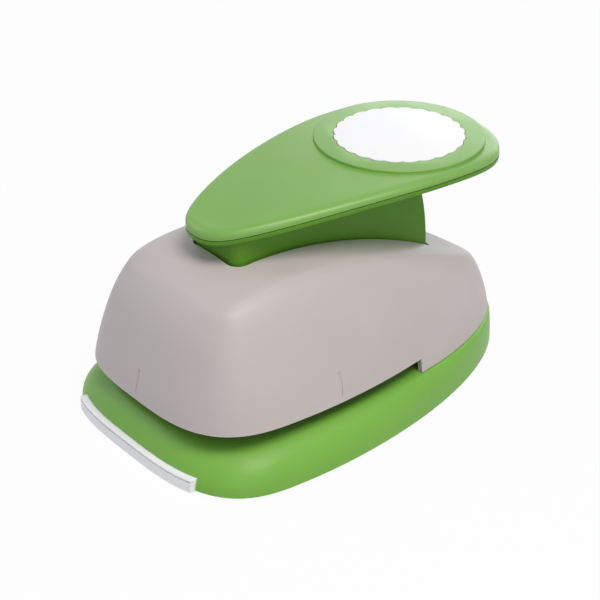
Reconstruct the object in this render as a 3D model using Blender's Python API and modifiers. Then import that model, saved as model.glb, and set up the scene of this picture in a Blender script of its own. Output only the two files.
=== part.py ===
"""Scalloped circle punch, a lever-operated paper punch for craft work.

The punch stands on z = 0. The card goes in from -Y, the pad that is pressed down is towards +Y,
and the two sides mirror across x = 0. All sizes are in metres.
"""

import math

import bmesh
import bpy
import numpy as np
from mathutils import Matrix, Vector
from mathutils.bvhtree import BVHTree

for old_object in list(bpy.data.objects):
    bpy.data.objects.remove(old_object, do_unlink=True)

# Clearances and walls that the whole punch shares
seat_gap = 0.0003
overrun = 0.004
wall = 0.0024

# Base casing: an egg-shaped tub turned upside down, low and wide at the front
base_length = 0.173
base_width = 0.1136
base_widest_reach = 0.0435
base_front_power = 3.3
base_rear_power = 1.8
foot_stand = 0.0008
deck_height = 0.0165
deck_width = 0.089
deck_front_inset = 0.0105
deck_rear_inset = 0.001
deck_widest_reach = 0.0795
deck_front_power = 2.8
deck_rear_power = 1.85
deck_rear_drop = 0.0037

# Upper casing, open at the front and the sides for the card
cover_width = 0.1
cover_front_inset = 0.002
cover_rear_inset = 0.001
cover_widest_reach = 0.0475
cover_front_power = 3.2
cover_rear_power = 1.85
mouth_height = 0.0225
throat_reach = 0.1055
crest_height = 0.0727
crest_reach = 0.0521
front_drop = 0.0135
rear_drop = 0.0444
crown_drop = 0.0115
shoulder_depth = 0.0232
mark_width = 0.0009
mark_depth = 0.0007
mark_side_reach = 0.0625
mark_low = 0.0282
mark_tall = 0.0068

# Shape that is cut: a circle with a scalloped edge
shape_radius = 0.0254
scallop_count = 24
scallop_depth = 0.0009
scallop_steps = 3
die_reach = 0.0615

# Steel plates and the slot between them
plate_width = 0.072
plate_front_reach = 0.0255
plate_rear_reach = 0.1045
plate_thickness = 0.003
card_slot = 0.0016
spacer_length = 0.01
cutting_clearance = 0.0003
bed_floor = 0.0021
chute_margin = 0.0021

# Guide frame with its two cheeks and two posts
frame_front_reach = 0.0265
frame_rear_reach = 0.0935
frame_thickness = 0.003
bore_clearance = 0.0007
post_spacing = 0.0636
post_radius = 0.0025
post_height = 0.029
post_lobe = 0.0065
cheek_thickness = 0.003
cheek_foot = 0.011

# Pivot of the lever
pivot_reach = 0.0387
pivot_height = 0.053
pivot_radius = 0.0025
slot_low_reach = 0.1
pivot_boss = 0.0068
pin_head_radius = 0.0042
pin_head_thickness = 0.0012
clip_radius = 0.0048
clip_thickness = 0.0008

# Male punch and its carrier
punch_stroke = 0.0058
punch_rise = 0.0006
punch_height = 0.01
carrier_disc_radius = 0.02
carrier_disc_thickness = 0.003
carrier_column_radius = 0.011
carrier_bar_width = 0.014
carrier_bar_thickness = 0.005
pedestal_length = 0.012
pedestal_width = 0.012

# Return springs round the posts
spring_wire = 0.001
spring_radius = 0.0037
spring_turns = 6
spring_turn_points = 10
spring_flat = 0.5

# Lever: a curved blade in two mouldings on a hollow skirt
lever_front_reach = 0.0312
lever_length = 0.1339
lever_width = 0.0736
lever_station_shares = (0.04, 0.2, 0.42, 0.65, 0.85, 0.965)
lever_width_shares = (0.334, 0.639, 0.875, 1.0, 0.92, 0.535)
lever_arch_height = 0.0887
lever_arch_reach = 0.1207
lever_arch_radius = 0.408
rim_thickness = 0.0019
rim_round = 0.0007
blade_gap = 0.0004
blade_height = 0.0026
blade_crown = 0.0006
blade_wall = 0.0014
blade_height_shares = (0.0, 0.3, 0.62, 0.85, 0.96, 1.0)
blade_inset_shares = (0.0, 0.0, 0.12, 0.36, 0.68, 1.0)
blade_edge = 0.0045
skirt_width = 0.028
skirt_front_reach = 0.0396
skirt_corner = 0.0045
skirt_radius = 0.0916
skirt_low = 0.048
skirt_front_low = 0.0605
skirt_waist = 0.0495
skirt_waist_reaches = (0.0525, 0.0685)
slot_clearance = 0.0012
roller_radius = 0.004
roller_length = 0.017
roller_pin_radius = 0.002

# Pad at the end of the lever, with the white copy of the shape let into it
pad_reach = 0.1275
pad_radius = 0.033
pad_rise = 0.0005
pad_thickness = 0.0032
label_thickness = 0.0012
label_proud = 0.0003

# Drawer that catches the punched shapes
tray_side_inset = 0.0196
tray_top = 0.0061
tray_wall = 0.0016
tray_rear_reach = 0.0975
tray_flange = 0.003
tray_flange_thickness = 0.0014
tray_proud = 0.0011
tray_lip_reach = 0.0155
tray_hollow_reach = 0.0085
rail_thickness = 0.0024
rail_lip_thickness = 0.0014
rail_front_reach = 0.0175
opening_depth = 0.0135

# Feet and fasteners
foot_radius = 0.005
foot_thickness = 0.0016
foot_column_radius = 0.0066
front_foot_reach = 0.0375
front_foot_inset = 0.0128
rear_foot_reach = 0.1255
rear_foot_inset = 0.0122
screw_radius = 0.0014
screw_head_radius = 0.0028
screw_head_thickness = 0.0016
screw_boss_radius = 0.004
boss_skin = 0.0007
mid_screw_reach = 0.1145
mid_screw_spacing = 0.05
rear_screw_inset = 0.0225
cover_screw_length = 0.014
throat_screw_spacing = 0.052
throat_screw_length = 0.0095
frame_screw_reach = 0.0315
frame_screw_spacing = 0.054
frame_screw_length = 0.015
punch_screw_spacing = 0.031
punch_screw_length = 0.009
lever_screw_reaches = (0.0545, 0.1175)
lever_screw_length = 0.0042

# Counts of points and facets
half_points = 26
flank_steps = 5
cap_shares = (0.5,)
round_facets = 24
small_facets = 12
corner_steps = 6
cover_height_shares = (0.0, 0.2, 0.4, 0.6, 0.75, 0.87, 0.95, 1.0)
cover_inset_shares = (0.0, 0.075, 0.195, 0.355, 0.51, 0.675, 0.82, 1.0)

# Places that follow from the sizes above
front_y = (tray_proud - base_length) / 2


def at_reach(reach):
    """Y of a place that lies this far behind the front end of the base."""
    return front_y + reach


rear_y = at_reach(base_length)
die_y = at_reach(die_reach)
throat_y = at_reach(throat_reach)
pivot_y = at_reach(pivot_reach)
pad_y = at_reach(pad_reach)
die_top = deck_height
die_bottom = die_top - plate_thickness
guide_bottom = die_top + card_slot
guide_top = guide_bottom + plate_thickness
frame_bottom = guide_top + seat_gap
frame_top = frame_bottom + frame_thickness
punch_bottom = guide_bottom + punch_rise
punch_top = punch_bottom + punch_height
disc_bottom = punch_top + seat_gap
disc_top = disc_bottom + carrier_disc_thickness
roller_z = pivot_height + punch_stroke / 2
pedestal_top = roller_z - roller_radius - seat_gap
bar_top = pedestal_top - 0.9 * carrier_bar_thickness
bar_bottom = bar_top - carrier_bar_thickness
bed_bottom = die_bottom - seat_gap - bed_floor
skirt_inner = skirt_width / 2 - wall
cheek_inner = skirt_width / 2 + seat_gap
cheek_outer = cheek_inner + cheek_thickness

parts = bpy.data.collections.new("scalloped_circle_punch")
cutters = bpy.data.collections.new("cutters")
bpy.context.scene.collection.children.link(parts)
bpy.context.scene.collection.children.link(cutters)
cutters.hide_render = True


def plastic(name, colour, roughness, metallic=0.0):
    """A plain finish with one colour."""
    finish = bpy.data.materials.new(name)
    finish.use_nodes = True
    shader = finish.node_tree.nodes["Principled BSDF"]
    shader.inputs["Base Color"].default_value = (*colour, 1.0)
    shader.inputs["Roughness"].default_value = roughness
    shader.inputs["Metallic"].default_value = metallic
    finish.diffuse_color = (*colour, 1.0)
    return finish


base_green = plastic("base_green", (0.17, 0.46, 0.08), 0.42)
lever_green = plastic("lever_green", (0.27, 0.47, 0.15), 0.4)
skirt_green = plastic("skirt_green", (0.1, 0.25, 0.03), 0.45)
cover_grey = plastic("cover_grey", (0.5, 0.46, 0.45), 0.5)
label_white = plastic("label_white", (0.9, 0.9, 0.9), 0.55)
tray_white = plastic("tray_white", (0.88, 0.88, 0.88), 0.5)
frame_black = plastic("frame_black", (0.03, 0.03, 0.03), 0.5)
rubber_grey = plastic("rubber_grey", (0.06, 0.06, 0.06), 0.8)
plate_steel = plastic("plate_steel", (0.55, 0.55, 0.56), 0.32, 1.0)
punch_steel = plastic("punch_steel", (0.45, 0.45, 0.46), 0.3, 1.0)
pin_steel = plastic("pin_steel", (0.6, 0.6, 0.61), 0.25, 1.0)
screw_steel = plastic("screw_steel", (0.5, 0.5, 0.5), 0.35, 1.0)


def axis_empty(name, place):
    """An empty on a joint's axis, which carries the pieces that move about it."""
    empty = bpy.data.objects.new(name, None)
    empty.location = place
    empty.empty_display_size = wall
    parts.objects.link(empty)
    return empty


lever_axis = axis_empty("lever_axis", (0, pivot_y, pivot_height))
punch_axis = axis_empty("punch_axis", (0, die_y, punch_bottom))
tray_axis = axis_empty("tray_axis", (0, front_y, foot_stand))
bpy.context.view_layer.update()


def keep(piece, finish, carrier=None):
    """Puts a finished object among the parts, on the empty that moves it."""
    piece.data.materials.clear()
    piece.data.materials.append(finish)
    parts.objects.link(piece)
    if carrier is not None:
        piece.parent = carrier
        piece.matrix_parent_inverse = carrier.matrix_world.inverted()
    if piece.type == "MESH":
        piece.data.shade_smooth()
        piece.data.set_sharp_from_angle(angle=math.radians(35))
    return piece


def as_cutter(tool):
    """Puts a helper solid among the cutters, where no render shows it."""
    tool.hide_render = True
    tool.display_type = "WIRE"
    cutters.objects.link(tool)
    return tool


def combine(piece, tools, operation):
    """Adds helper solids to the set that one Boolean of this kind takes from, or joins to, the piece."""
    name = piece.name + "_" + operation.lower()
    tool_set = bpy.data.collections.get(name)
    if tool_set is None:
        tool_set = bpy.data.collections.new(name)
        cutters.children.link(tool_set)
        change = piece.modifiers.new(name, "BOOLEAN")
        change.operation = operation
        change.operand_type = "COLLECTION"
        change.collection = tool_set
    for tool in tools:
        tool_set.objects.link(tool)


def cut(piece, *tools):
    """Takes each helper solid away from the piece."""
    combine(piece, tools, "DIFFERENCE")


def fuse(piece, *tools):
    """Joins each helper solid to the piece."""
    combine(piece, tools, "UNION")


def from_bmesh(name, shape):
    """An object that holds this shape, with its faces turned outwards."""
    bmesh.ops.recalc_face_normals(shape, faces=shape.faces)
    mesh = bpy.data.meshes.new(name)
    shape.to_mesh(mesh)
    shape.free()
    return bpy.data.objects.new(name, mesh)


def block(name, low, high):
    """A box between two corners."""
    shape = bmesh.new()
    size = [b - a for a, b in zip(low, high)]
    middle = [(a + b) / 2 for a, b in zip(low, high)]
    placing = Matrix.Translation(middle) @ Matrix.Diagonal((*size, 1.0))
    bmesh.ops.create_cube(shape, size=1.0, matrix=placing)
    return from_bmesh(name, shape)


def rod(name, centre, radius, length, along="Z", facets=round_facets):
    """A round bar centred on a point, along one of the axes."""
    turns = {
        "X": Matrix.Rotation(math.pi / 2, 4, "Y"),
        "Y": Matrix.Rotation(math.pi / 2, 4, "X"),
        "Z": Matrix.Identity(4),
    }
    shape = bmesh.new()
    bmesh.ops.create_cone(
        shape,
        cap_ends=True,
        segments=facets,
        radius1=radius,
        radius2=radius,
        depth=length,
        matrix=Matrix.Translation(centre) @ turns[along],
    )
    return from_bmesh(name, shape)


def upright(name, x, y, low, high, radius, facets=round_facets):
    """A round bar that stands between two heights."""
    return rod(name, (x, y, (low + high) / 2), radius, high - low, "Z", facets)


def flat_outline(name, outline, thickness, placing):
    """A flat outline, filled and thickened about its own plane, as a mesh."""
    curve = bpy.data.curves.new(name, "CURVE")
    curve.dimensions = "2D"
    curve.fill_mode = "BOTH"
    curve.extrude = thickness / 2
    line = curve.splines.new("POLY")
    line.points.add(len(outline) - 1)
    for point, (u, v) in zip(line.points, outline):
        point.co = (u, v, 0, 1)
    line.use_cyclic_u = True
    drawn = bpy.data.objects.new(name + "_outline", curve)
    bpy.context.scene.collection.objects.link(drawn)
    bpy.context.view_layer.update()
    seen = drawn.evaluated_get(bpy.context.evaluated_depsgraph_get())
    mesh = bpy.data.meshes.new_from_object(seen)
    bpy.data.objects.remove(drawn, do_unlink=True)
    shape = bmesh.new()
    shape.from_mesh(mesh)
    bpy.data.meshes.remove(mesh)
    bmesh.ops.remove_doubles(shape, verts=shape.verts, dist=seat_gap / 100)
    bmesh.ops.dissolve_limit(shape, angle_limit=math.radians(0.1), verts=shape.verts, edges=shape.edges)
    bmesh.ops.transform(shape, matrix=placing, verts=shape.verts)
    return from_bmesh(name, shape)


def level_outline(name, outline, low, high):
    """An outline drawn in plan, thickened between two heights."""
    return flat_outline(name, outline, high - low, Matrix.Translation((0, 0, (low + high) / 2)))


def side_outline(name, outline, inner, outer):
    """An outline of (y, z) points, thickened between two places along X."""
    turn = Matrix(((0, 0, 1, 0), (1, 0, 0, 0), (0, 1, 0, 0), (0, 0, 0, 1)))
    placing = Matrix.Translation(((inner + outer) / 2, 0, 0)) @ turn
    return flat_outline(name, outline, outer - inner, placing)


def turned(name, profile, place, facing=(0, 0, 1), facets=small_facets):
    """A turned piece from (radius, height) points, listed from its top end down its outer side."""
    mesh = bpy.data.meshes.new(name)
    points = [(radius, 0, height) for radius, height in profile]
    mesh.from_pydata(points, [(i, i + 1) for i in range(len(points) - 1)], [])
    piece = bpy.data.objects.new(name, mesh)
    spin = piece.modifiers.new("turn", "SCREW")
    spin.steps = facets
    spin.render_steps = facets
    spin.use_merge_vertices = True
    spin.merge_threshold = 0.00001
    piece.location = place
    piece.rotation_mode = "QUATERNION"
    piece.rotation_quaternion = Vector((0, 0, 1)).rotation_difference(Vector(facing))
    return piece


def evenly(line, steps):
    """Points at equal distances along a line, its two ends included."""
    lengths = [0.0]
    for before, after in zip(line, line[1:]):
        lengths.append(lengths[-1] + math.dist(before, after))
    spread = []
    place = 0
    for step in range(steps + 1):
        target = lengths[-1] * step / steps
        while place < len(line) - 2 and lengths[place + 1] < target:
            place += 1
        span = lengths[place + 1] - lengths[place]
        share = (target - lengths[place]) / span
        before, after = line[place], line[place + 1]
        spread.append(tuple(a + (b - a) * share for a, b in zip(before, after)))
    return spread


def egg_half(front, widest, rear, width, front_power, rear_power, steps=half_points):
    """The +X half of an egg-shaped outline, from its front tip to its rear tip."""
    fine = 40 * steps
    line = []
    for step in range(fine + 1):
        angle = math.pi * (step / fine - 0.5)
        power = front_power if angle < 0 else rear_power
        reach = widest - front if angle < 0 else rear - widest
        across = abs(math.cos(angle)) ** (2 / power)
        along = math.copysign(abs(math.sin(angle)) ** (2 / power), angle)
        line.append((width / 2 * across, widest + reach * along))
    line[0] = (0.0, front)
    line[-1] = (0.0, rear)
    return evenly(line, steps)


def whole(half):
    """Both halves of an outline, round from its front tip over +X."""
    return half + [(-x, y) for x, y in reversed(half[1:-1])]


def drawn_in(outline, depths):
    """The outline moved inwards, by its own depth at each point."""
    count = len(outline)
    moved = []
    for i, (x, y) in enumerate(outline):
        before = outline[i - 1]
        after = outline[(i + 1) % count]
        dx = after[0] - before[0]
        dy = after[1] - before[1]
        length = math.hypot(dx, dy)
        moved.append((x - depths[i] * dy / length, y + depths[i] * dx / length))
    return moved


def add_ring(shape, points):
    return [shape.verts.new(point) for point in points]


def bridge(shape, lower, upper):
    """Faces between two rings of the same count."""
    count = len(lower)
    for i in range(count):
        j = (i + 1) % count
        shape.faces.new((lower[i], lower[j], upper[j], upper[i]))


def close_up(shape, ring, middle_y, height):
    """Fills a ring with smaller rings about a middle point, each point at the height of its place."""
    edge = [(point.co.x, point.co.y) for point in ring]
    outer = ring
    for share in cap_shares:
        places = [(x * share, middle_y + (y - middle_y) * share) for x, y in edge]
        inner = add_ring(shape, [(x, y, height(x, y)) for x, y in places])
        bridge(shape, outer, inner)
        outer = inner
    middle = shape.verts.new((0, middle_y, height(0, middle_y)))
    for before, after in zip(outer, outer[1:] + outer[:1]):
        shape.faces.new((before, after, middle))


def scalloped(radius, centre_y):
    """The scalloped circle, as arcs between cusps that lie a little further in."""
    cusp = radius - scallop_depth
    half_pitch = math.pi / scallop_count
    half_chord = cusp * math.sin(half_pitch)
    bulge = radius - cusp * math.cos(half_pitch)
    arc_radius = (half_chord**2 + bulge**2) / (2 * bulge)
    arc_centre = radius - arc_radius
    spread = math.asin(half_chord / arc_radius)
    outline = []
    for scallop in range(scallop_count):
        turn = 2 * half_pitch * scallop
        for step in range(scallop_steps):
            angle = spread * (2 * step / scallop_steps - 1)
            u = arc_centre + arc_radius * math.cos(angle)
            v = arc_radius * math.sin(angle)
            x = u * math.sin(turn) + v * math.cos(turn)
            y = v * math.sin(turn) - u * math.cos(turn)
            outline.append((x, centre_y + y))
    return outline


def rise(skin, x, y):
    """Height of an open casing's outer surface straight above a place."""
    hit = skin.ray_cast(Vector((x, y, -base_length)), Vector((0, 0, 1)))[0]
    return hit.z


def column(name, skin, x, y, low, radius):
    """A round column under a casing, as tall as its outer surface lets it be."""
    around = [i * math.tau / small_facets for i in range(small_facets)]
    tops = [rise(skin, x + radius * math.cos(a), y + radius * math.sin(a)) for a in around]
    return as_cutter(upright(name, x, y, low, min(tops) - boss_skin, radius, small_facets))


# Base casing
base_half = egg_half(front_y, at_reach(base_widest_reach), rear_y, base_width, base_front_power, base_rear_power)
base_loop = whole(base_half)
deck_front_y = at_reach(deck_front_inset)
deck_rear_y = rear_y - deck_rear_inset
deck_loop = whole(
    egg_half(
        deck_front_y,
        at_reach(deck_widest_reach),
        deck_rear_y,
        deck_width,
        deck_front_power,
        deck_rear_power,
    )
)


def deck_at(y):
    """Height of the deck, which is level up to the throat and then falls to the rear."""
    behind = max(0.0, y - throat_y) / (deck_rear_y - throat_y)
    return deck_height - deck_rear_drop * behind


shape = bmesh.new()
rings = []
for step in range(flank_steps + 1):
    angle = math.pi / 2 * step / flank_steps
    inward = 1 - math.cos(angle)
    ring = []
    for (bx, by), (dx, dy) in zip(base_loop, deck_loop):
        x = bx + (dx - bx) * inward
        y = by + (dy - by) * inward
        ring.append((x, y, foot_stand + (deck_at(dy) - foot_stand) * math.sin(angle)))
    rings.append(add_ring(shape, ring))
for lower, upper in zip(rings, rings[1:]):
    bridge(shape, lower, upper)
close_up(shape, rings[-1], die_y, lambda x, y: deck_at(y))
base_skin = BVHTree.FromBMesh(shape)
base_shell = from_bmesh("base_shell", shape)


def thicken(piece, thickness):
    """Gives an open surface a wall on its inner side."""
    shell = piece.modifiers.new("wall", "SOLIDIFY")
    shell.thickness = thickness
    shell.offset = -1.0
    shell.use_even_offset = True
    shell.use_quality_normals = True


thicken(base_shell, wall)

plate_front = at_reach(plate_front_reach)
plate_rear = at_reach(plate_rear_reach)
tray_half_opening = base_width / 2 - tray_side_inset
bed_half = max(plate_width / 2 + seat_gap + wall, tray_half_opening + rail_thickness / 2)
bed = block(
    "die_bed",
    (-bed_half, plate_front - seat_gap - wall, bed_bottom),
    (bed_half, plate_rear + seat_gap + wall, die_top - 0.7 * wall),
)
fuse(base_shell, as_cutter(bed))

rail_low = tray_top - tray_flange_thickness - seat_gap - rail_lip_thickness
rail_rear = at_reach(tray_rear_reach) + seat_gap
tray_half_body = tray_half_opening - seat_gap - tray_flange
for side, name in ((1, "left"), (-1, "right")):
    web = sorted((side * tray_half_opening, side * (tray_half_opening + rail_thickness)))
    lip = sorted((side * (tray_half_body + seat_gap), side * (tray_half_opening + rail_thickness / 2)))
    rail_front = at_reach(rail_front_reach)
    fuse(
        base_shell,
        as_cutter(
            block("rail_web_" + name, (web[0], rail_front, rail_low), (web[1], rail_rear, bed_bottom + bed_floor / 2))
        ),
        as_cutter(
            block(
                "rail_lip_" + name,
                (lip[0], rail_front, rail_low),
                (lip[1], rail_rear, rail_low + rail_lip_thickness),
            )
        ),
    )

foot_places = {}
for name, reach, inset in (
    ("front", front_foot_reach, front_foot_inset),
    ("rear", rear_foot_reach, rear_foot_inset),
):
    base_half_there = float(np.interp(at_reach(reach), *zip(*[(y, x) for x, y in base_half])))
    foot_places[name + "_left"] = (base_half_there - inset, at_reach(reach))
    foot_places[name + "_right"] = (inset - base_half_there, at_reach(reach))
foot_pocket = foot_radius + seat_gap
foot_top = foot_thickness
for name, (x, y) in foot_places.items():
    fuse(base_shell, column("foot_column_" + name, base_skin, x, y, foot_stand, foot_column_radius))

cover_screws = {
    "mid_left": (mid_screw_spacing / 2, at_reach(mid_screw_reach)),
    "mid_right": (-mid_screw_spacing / 2, at_reach(mid_screw_reach)),
    "rear": (0.0, rear_y - rear_screw_inset),
}
screw_hole = screw_radius + seat_gap
throat_screws = {
    "left": throat_screw_spacing / 2,
    "right": -throat_screw_spacing / 2,
}
throat_screw_y = plate_rear - spacer_length / 2
throat_screw_top = guide_top + seat_gap
throat_screw_tip = throat_screw_top - throat_screw_length
for name, x in throat_screws.items():
    low = min(throat_screw_tip - wall, bed_bottom)
    boss = upright("throat_boss_" + name, x, throat_screw_y, low, bed_bottom + bed_floor / 2, screw_boss_radius)
    fuse(base_shell, as_cutter(boss))

chute_radius = shape_radius + chute_margin
chute = upright("chute", 0, die_y, 0, deck_height + overrun, chute_radius)
pocket = block(
    "die_pocket",
    (-plate_width / 2 - seat_gap, plate_front - seat_gap, die_bottom - seat_gap),
    (plate_width / 2 + seat_gap, plate_rear + seat_gap, deck_height + overrun),
)
opening_top = tray_top + seat_gap
opening = block(
    "tray_opening",
    (-tray_half_opening, front_y - overrun, -overrun),
    (tray_half_opening, at_reach(opening_depth), opening_top),
)
cut(base_shell, as_cutter(opening), as_cutter(chute), as_cutter(pocket))
for name, (x, y) in foot_places.items():
    hollow = upright("foot_pocket_" + name, x, y, -overrun, foot_top + seat_gap, foot_pocket, small_facets)
    cut(base_shell, as_cutter(hollow))
for name, (x, y) in cover_screws.items():
    hole = upright("cover_screw_hole_" + name, x, y, 0, deck_height + overrun, screw_hole, small_facets)
    cut(base_shell, as_cutter(hole))
for name, x in throat_screws.items():
    low = throat_screw_tip - seat_gap
    hole = upright("throat_hole_" + name, x, throat_screw_y, low, deck_height, screw_hole, small_facets)
    cut(base_shell, as_cutter(hole))
keep(base_shell, base_green)

# Upper casing
cover_front_y = at_reach(cover_front_inset)
cover_rear_y = rear_y - cover_rear_inset
crest_y = at_reach(crest_reach)
cover_loop = whole(
    egg_half(
        cover_front_y,
        at_reach(cover_widest_reach),
        cover_rear_y,
        cover_width,
        cover_front_power,
        cover_rear_power,
    )
)


def roof_at(x, y):
    """Height of the top of the cover, arched from front to rear and a little from side to side."""
    if y < crest_y:
        arch = front_drop * ((crest_y - y) / (crest_y - cover_front_y)) ** 2
    else:
        arch = rear_drop * ((y - crest_y) / (cover_rear_y - crest_y)) ** 2
    return crest_height - arch - crown_drop * (2 * x / cover_width) ** 2


def seam_at(y):
    """Height of the cover's lower edge where it stands on the deck."""
    return deck_at(y) + seat_gap


full_height = crest_height - deck_height
depths = []
for i, (x, y) in enumerate(cover_loop):
    depth = shoulder_depth
    for _ in range(3):
        inner = drawn_in(cover_loop, [depth] * len(cover_loop))[i]
        height = roof_at(*inner) - seam_at(y)
        depth = shoulder_depth * height / full_height
    depths.append(depth)
shape = bmesh.new()
rings = [add_ring(shape, [(x, y, seam_at(y) - wall) for x, y in cover_loop])]
shoulder = drawn_in(cover_loop, depths)
for height_share, inset_share in zip(cover_height_shares, cover_inset_shares):
    moved = drawn_in(cover_loop, [depth * inset_share for depth in depths])
    ring = []
    for (x, y), (sx, sy), (_, loop_y) in zip(moved, shoulder, cover_loop):
        low = seam_at(loop_y)
        ring.append((x, y, low + (roof_at(sx, sy) - low) * height_share))
    rings.append(add_ring(shape, ring))
for lower, upper in zip(rings, rings[1:]):
    bridge(shape, lower, upper)
close_up(shape, rings[-1], die_y, roof_at)
cover_skin = BVHTree.FromBMesh(shape)
cover_shell = from_bmesh("cover_shell", shape)
thicken(cover_shell, wall)

frame_screws = {
    "left": (frame_screw_spacing / 2, at_reach(frame_screw_reach)),
    "right": (-frame_screw_spacing / 2, at_reach(frame_screw_reach)),
}
for name, (x, y) in frame_screws.items():
    fuse(cover_shell, column("frame_boss_" + name, cover_skin, x, y, frame_top + seat_gap, screw_boss_radius))
for name, (x, y) in cover_screws.items():
    low = seam_at(y - screw_boss_radius)
    fuse(cover_shell, column("cover_boss_" + name, cover_skin, x, y, low, screw_boss_radius))


def arc(centre, radius, start, stop, steps):
    """Points along an arc, both ends included; the angles are in radians from the first axis."""
    angles = [start + (stop - start) * step / steps for step in range(steps + 1)]
    return [(centre[0] + radius * math.cos(a), centre[1] + radius * math.sin(a)) for a in angles]


def front_corner(side, half, front, radius):
    """Arc round one front corner of an outline in plan, from its side to its front edge."""
    line = arc((half - radius, front + radius), radius, 0, -math.pi / 2, corner_steps)
    return [(side * x, y) for x, y in line]


skirt_front_y = at_reach(skirt_front_reach)
slot_half = skirt_width / 2 + slot_clearance
slot_front_y = skirt_front_y - slot_clearance
slot_rear_y = pivot_y + skirt_radius + slot_clearance
slot_corner = skirt_corner + slot_clearance
slot_outline = [(slot_half, slot_rear_y)]
slot_outline += front_corner(1, slot_half, slot_front_y, slot_corner)
slot_outline += reversed(front_corner(-1, slot_half, slot_front_y, slot_corner))
slot_outline += [(-slot_half, slot_rear_y)]
slot = level_outline("lever_slot", slot_outline, pivot_height, crest_height + overrun)
low_slot = block(
    "low_lever_slot",
    (-slot_half, at_reach(slot_low_reach), mouth_height),
    (slot_half, slot_rear_y, pivot_height + overrun),
)
mouth_outline = [
    (front_y - overrun, 0),
    (rear_y + overrun, 0),
    (rear_y + overrun, seam_at(rear_y + overrun)),
    (throat_y, seam_at(throat_y)),
    (throat_y, mouth_height),
    (front_y - overrun, mouth_height),
]
mouth = side_outline("card_mouth", mouth_outline, -base_width, base_width)
cut(cover_shell, as_cutter(slot), as_cutter(low_slot), as_cutter(mouth))

frame_screw_seat = guide_bottom + seat_gap + screw_head_thickness
for name, (x, y) in frame_screws.items():
    tip = frame_screw_seat + frame_screw_length + seat_gap
    hole = upright("frame_screw_hole_" + name, x, y, 0, tip, screw_hole, small_facets)
    cut(cover_shell, as_cutter(hole))


def cover_screw_seat(y):
    """Underside of the deck, above the head of a screw at this place."""
    return deck_at(y + screw_head_radius) - wall - seat_gap


for name, (x, y) in cover_screws.items():
    tip = cover_screw_seat(y) + cover_screw_length + seat_gap
    hole = upright("cover_boss_hole_" + name, x, y, 0, tip, screw_hole, small_facets)
    cut(cover_shell, as_cutter(hole))


def groove(name, aim):
    """An upright groove let into the cover's flank, as seen from outside along this direction."""
    across = Vector((aim.y, aim.x, 0)) * mark_width / 2
    shape = bmesh.new()
    for z in (mark_low, mark_low + mark_tall):
        start = Vector((0, at_reach(mark_side_reach), z)) - aim * base_length
        hit = cover_skin.ray_cast(start, aim)[0]
        for depth in (mark_depth, -overrun):
            for side in (-1, 1):
                shape.verts.new(hit + aim * depth + across * side)
    bmesh.ops.convex_hull(shape, input=shape.verts)
    return from_bmesh("mark_" + name, shape)


for name, aim in (("front", (0, 1, 0)), ("left", (-1, 0, 0)), ("right", (1, 0, 0))):
    cut(cover_shell, as_cutter(groove(name, Vector(aim))))
keep(cover_shell, cover_grey)

# Plates, with the card slot between them
plate_low = (-plate_width / 2, plate_front)
plate_high = (plate_width / 2, plate_rear)
die_plate = block("die_plate", (*plate_low, die_bottom), (*plate_high, die_top))
die_hole = level_outline(
    "die_hole",
    scalloped(shape_radius, die_y),
    die_bottom - overrun / 2,
    guide_top + overrun / 2,
)
as_cutter(die_hole)
cut(die_plate, die_hole)
guide_plate = block("guide_plate", (*plate_low, guide_bottom), (*plate_high, guide_top))
cut(guide_plate, die_hole)
spacer_low = (-plate_width / 2, plate_rear - spacer_length, die_top + seat_gap)
spacer_high = (plate_width / 2, plate_rear, guide_bottom - seat_gap)
throat_spacer = block("throat_spacer", spacer_low, spacer_high)
for name, x in throat_screws.items():
    low = die_bottom - overrun
    hole = upright("plate_hole_" + name, x, throat_screw_y, low, guide_top + overrun, screw_hole, small_facets)
    as_cutter(hole)
    for plate in (die_plate, guide_plate, throat_spacer):
        cut(plate, hole)
for name, (x, y) in frame_screws.items():
    seat = frame_screw_seat + seat_gap
    sink = upright("frame_sink_" + name, x, y, die_top, seat, screw_head_radius + seat_gap, small_facets)
    shank = upright("frame_shank_" + name, x, y, die_top, frame_top + overrun, screw_hole, small_facets)
    cut(guide_plate, as_cutter(sink), as_cutter(shank))
keep(die_plate, plate_steel)
keep(guide_plate, plate_steel)
keep(throat_spacer, plate_steel)

# Guide frame
pivot = (pivot_y, pivot_height)
frame_front = at_reach(frame_front_reach)
guide_frame = block(
    "guide_frame",
    (-plate_width / 2, frame_front, frame_bottom),
    (plate_width / 2, at_reach(frame_rear_reach), frame_top),
)
foot_z = frame_bottom + frame_thickness / 2
cheek_outline = [(frame_front + seat_gap, foot_z), (frame_front + seat_gap + cheek_foot, foot_z)]
cheek_outline += arc(pivot, pivot_boss, -math.pi / 12, math.pi * 13 / 12, 14)
bore_radius = shape_radius + bore_clearance
bore = upright("punch_bore", 0, die_y, frame_bottom - overrun, frame_top + overrun, bore_radius, 36)
for side, name in ((1, "left"), (-1, "right")):
    inner, outer = sorted((side * cheek_inner, side * cheek_outer))
    fuse(guide_frame, as_cutter(side_outline("cheek_" + name, cheek_outline, inner, outer)))
    x = side * post_spacing / 2
    fuse(guide_frame, as_cutter(upright("post_lobe_" + name, x, die_y, frame_bottom, frame_top, post_lobe)))
cut(guide_frame, as_cutter(bore))
for side, name in ((1, "left"), (-1, "right")):
    x = side * post_spacing / 2
    low = frame_bottom - overrun
    hole = upright("post_hole_" + name, x, die_y, low, frame_top + overrun, post_radius + seat_gap, small_facets)
    cut(guide_frame, as_cutter(hole))
pin_hole = rod("pin_hole", (0, *pivot), pivot_radius + seat_gap, base_width, "X", 24)
as_cutter(pin_hole)
cut(guide_frame, pin_hole)
for name in frame_screws:
    cut(guide_frame, bpy.data.objects["frame_shank_" + name])
keep(guide_frame, frame_black)

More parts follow.
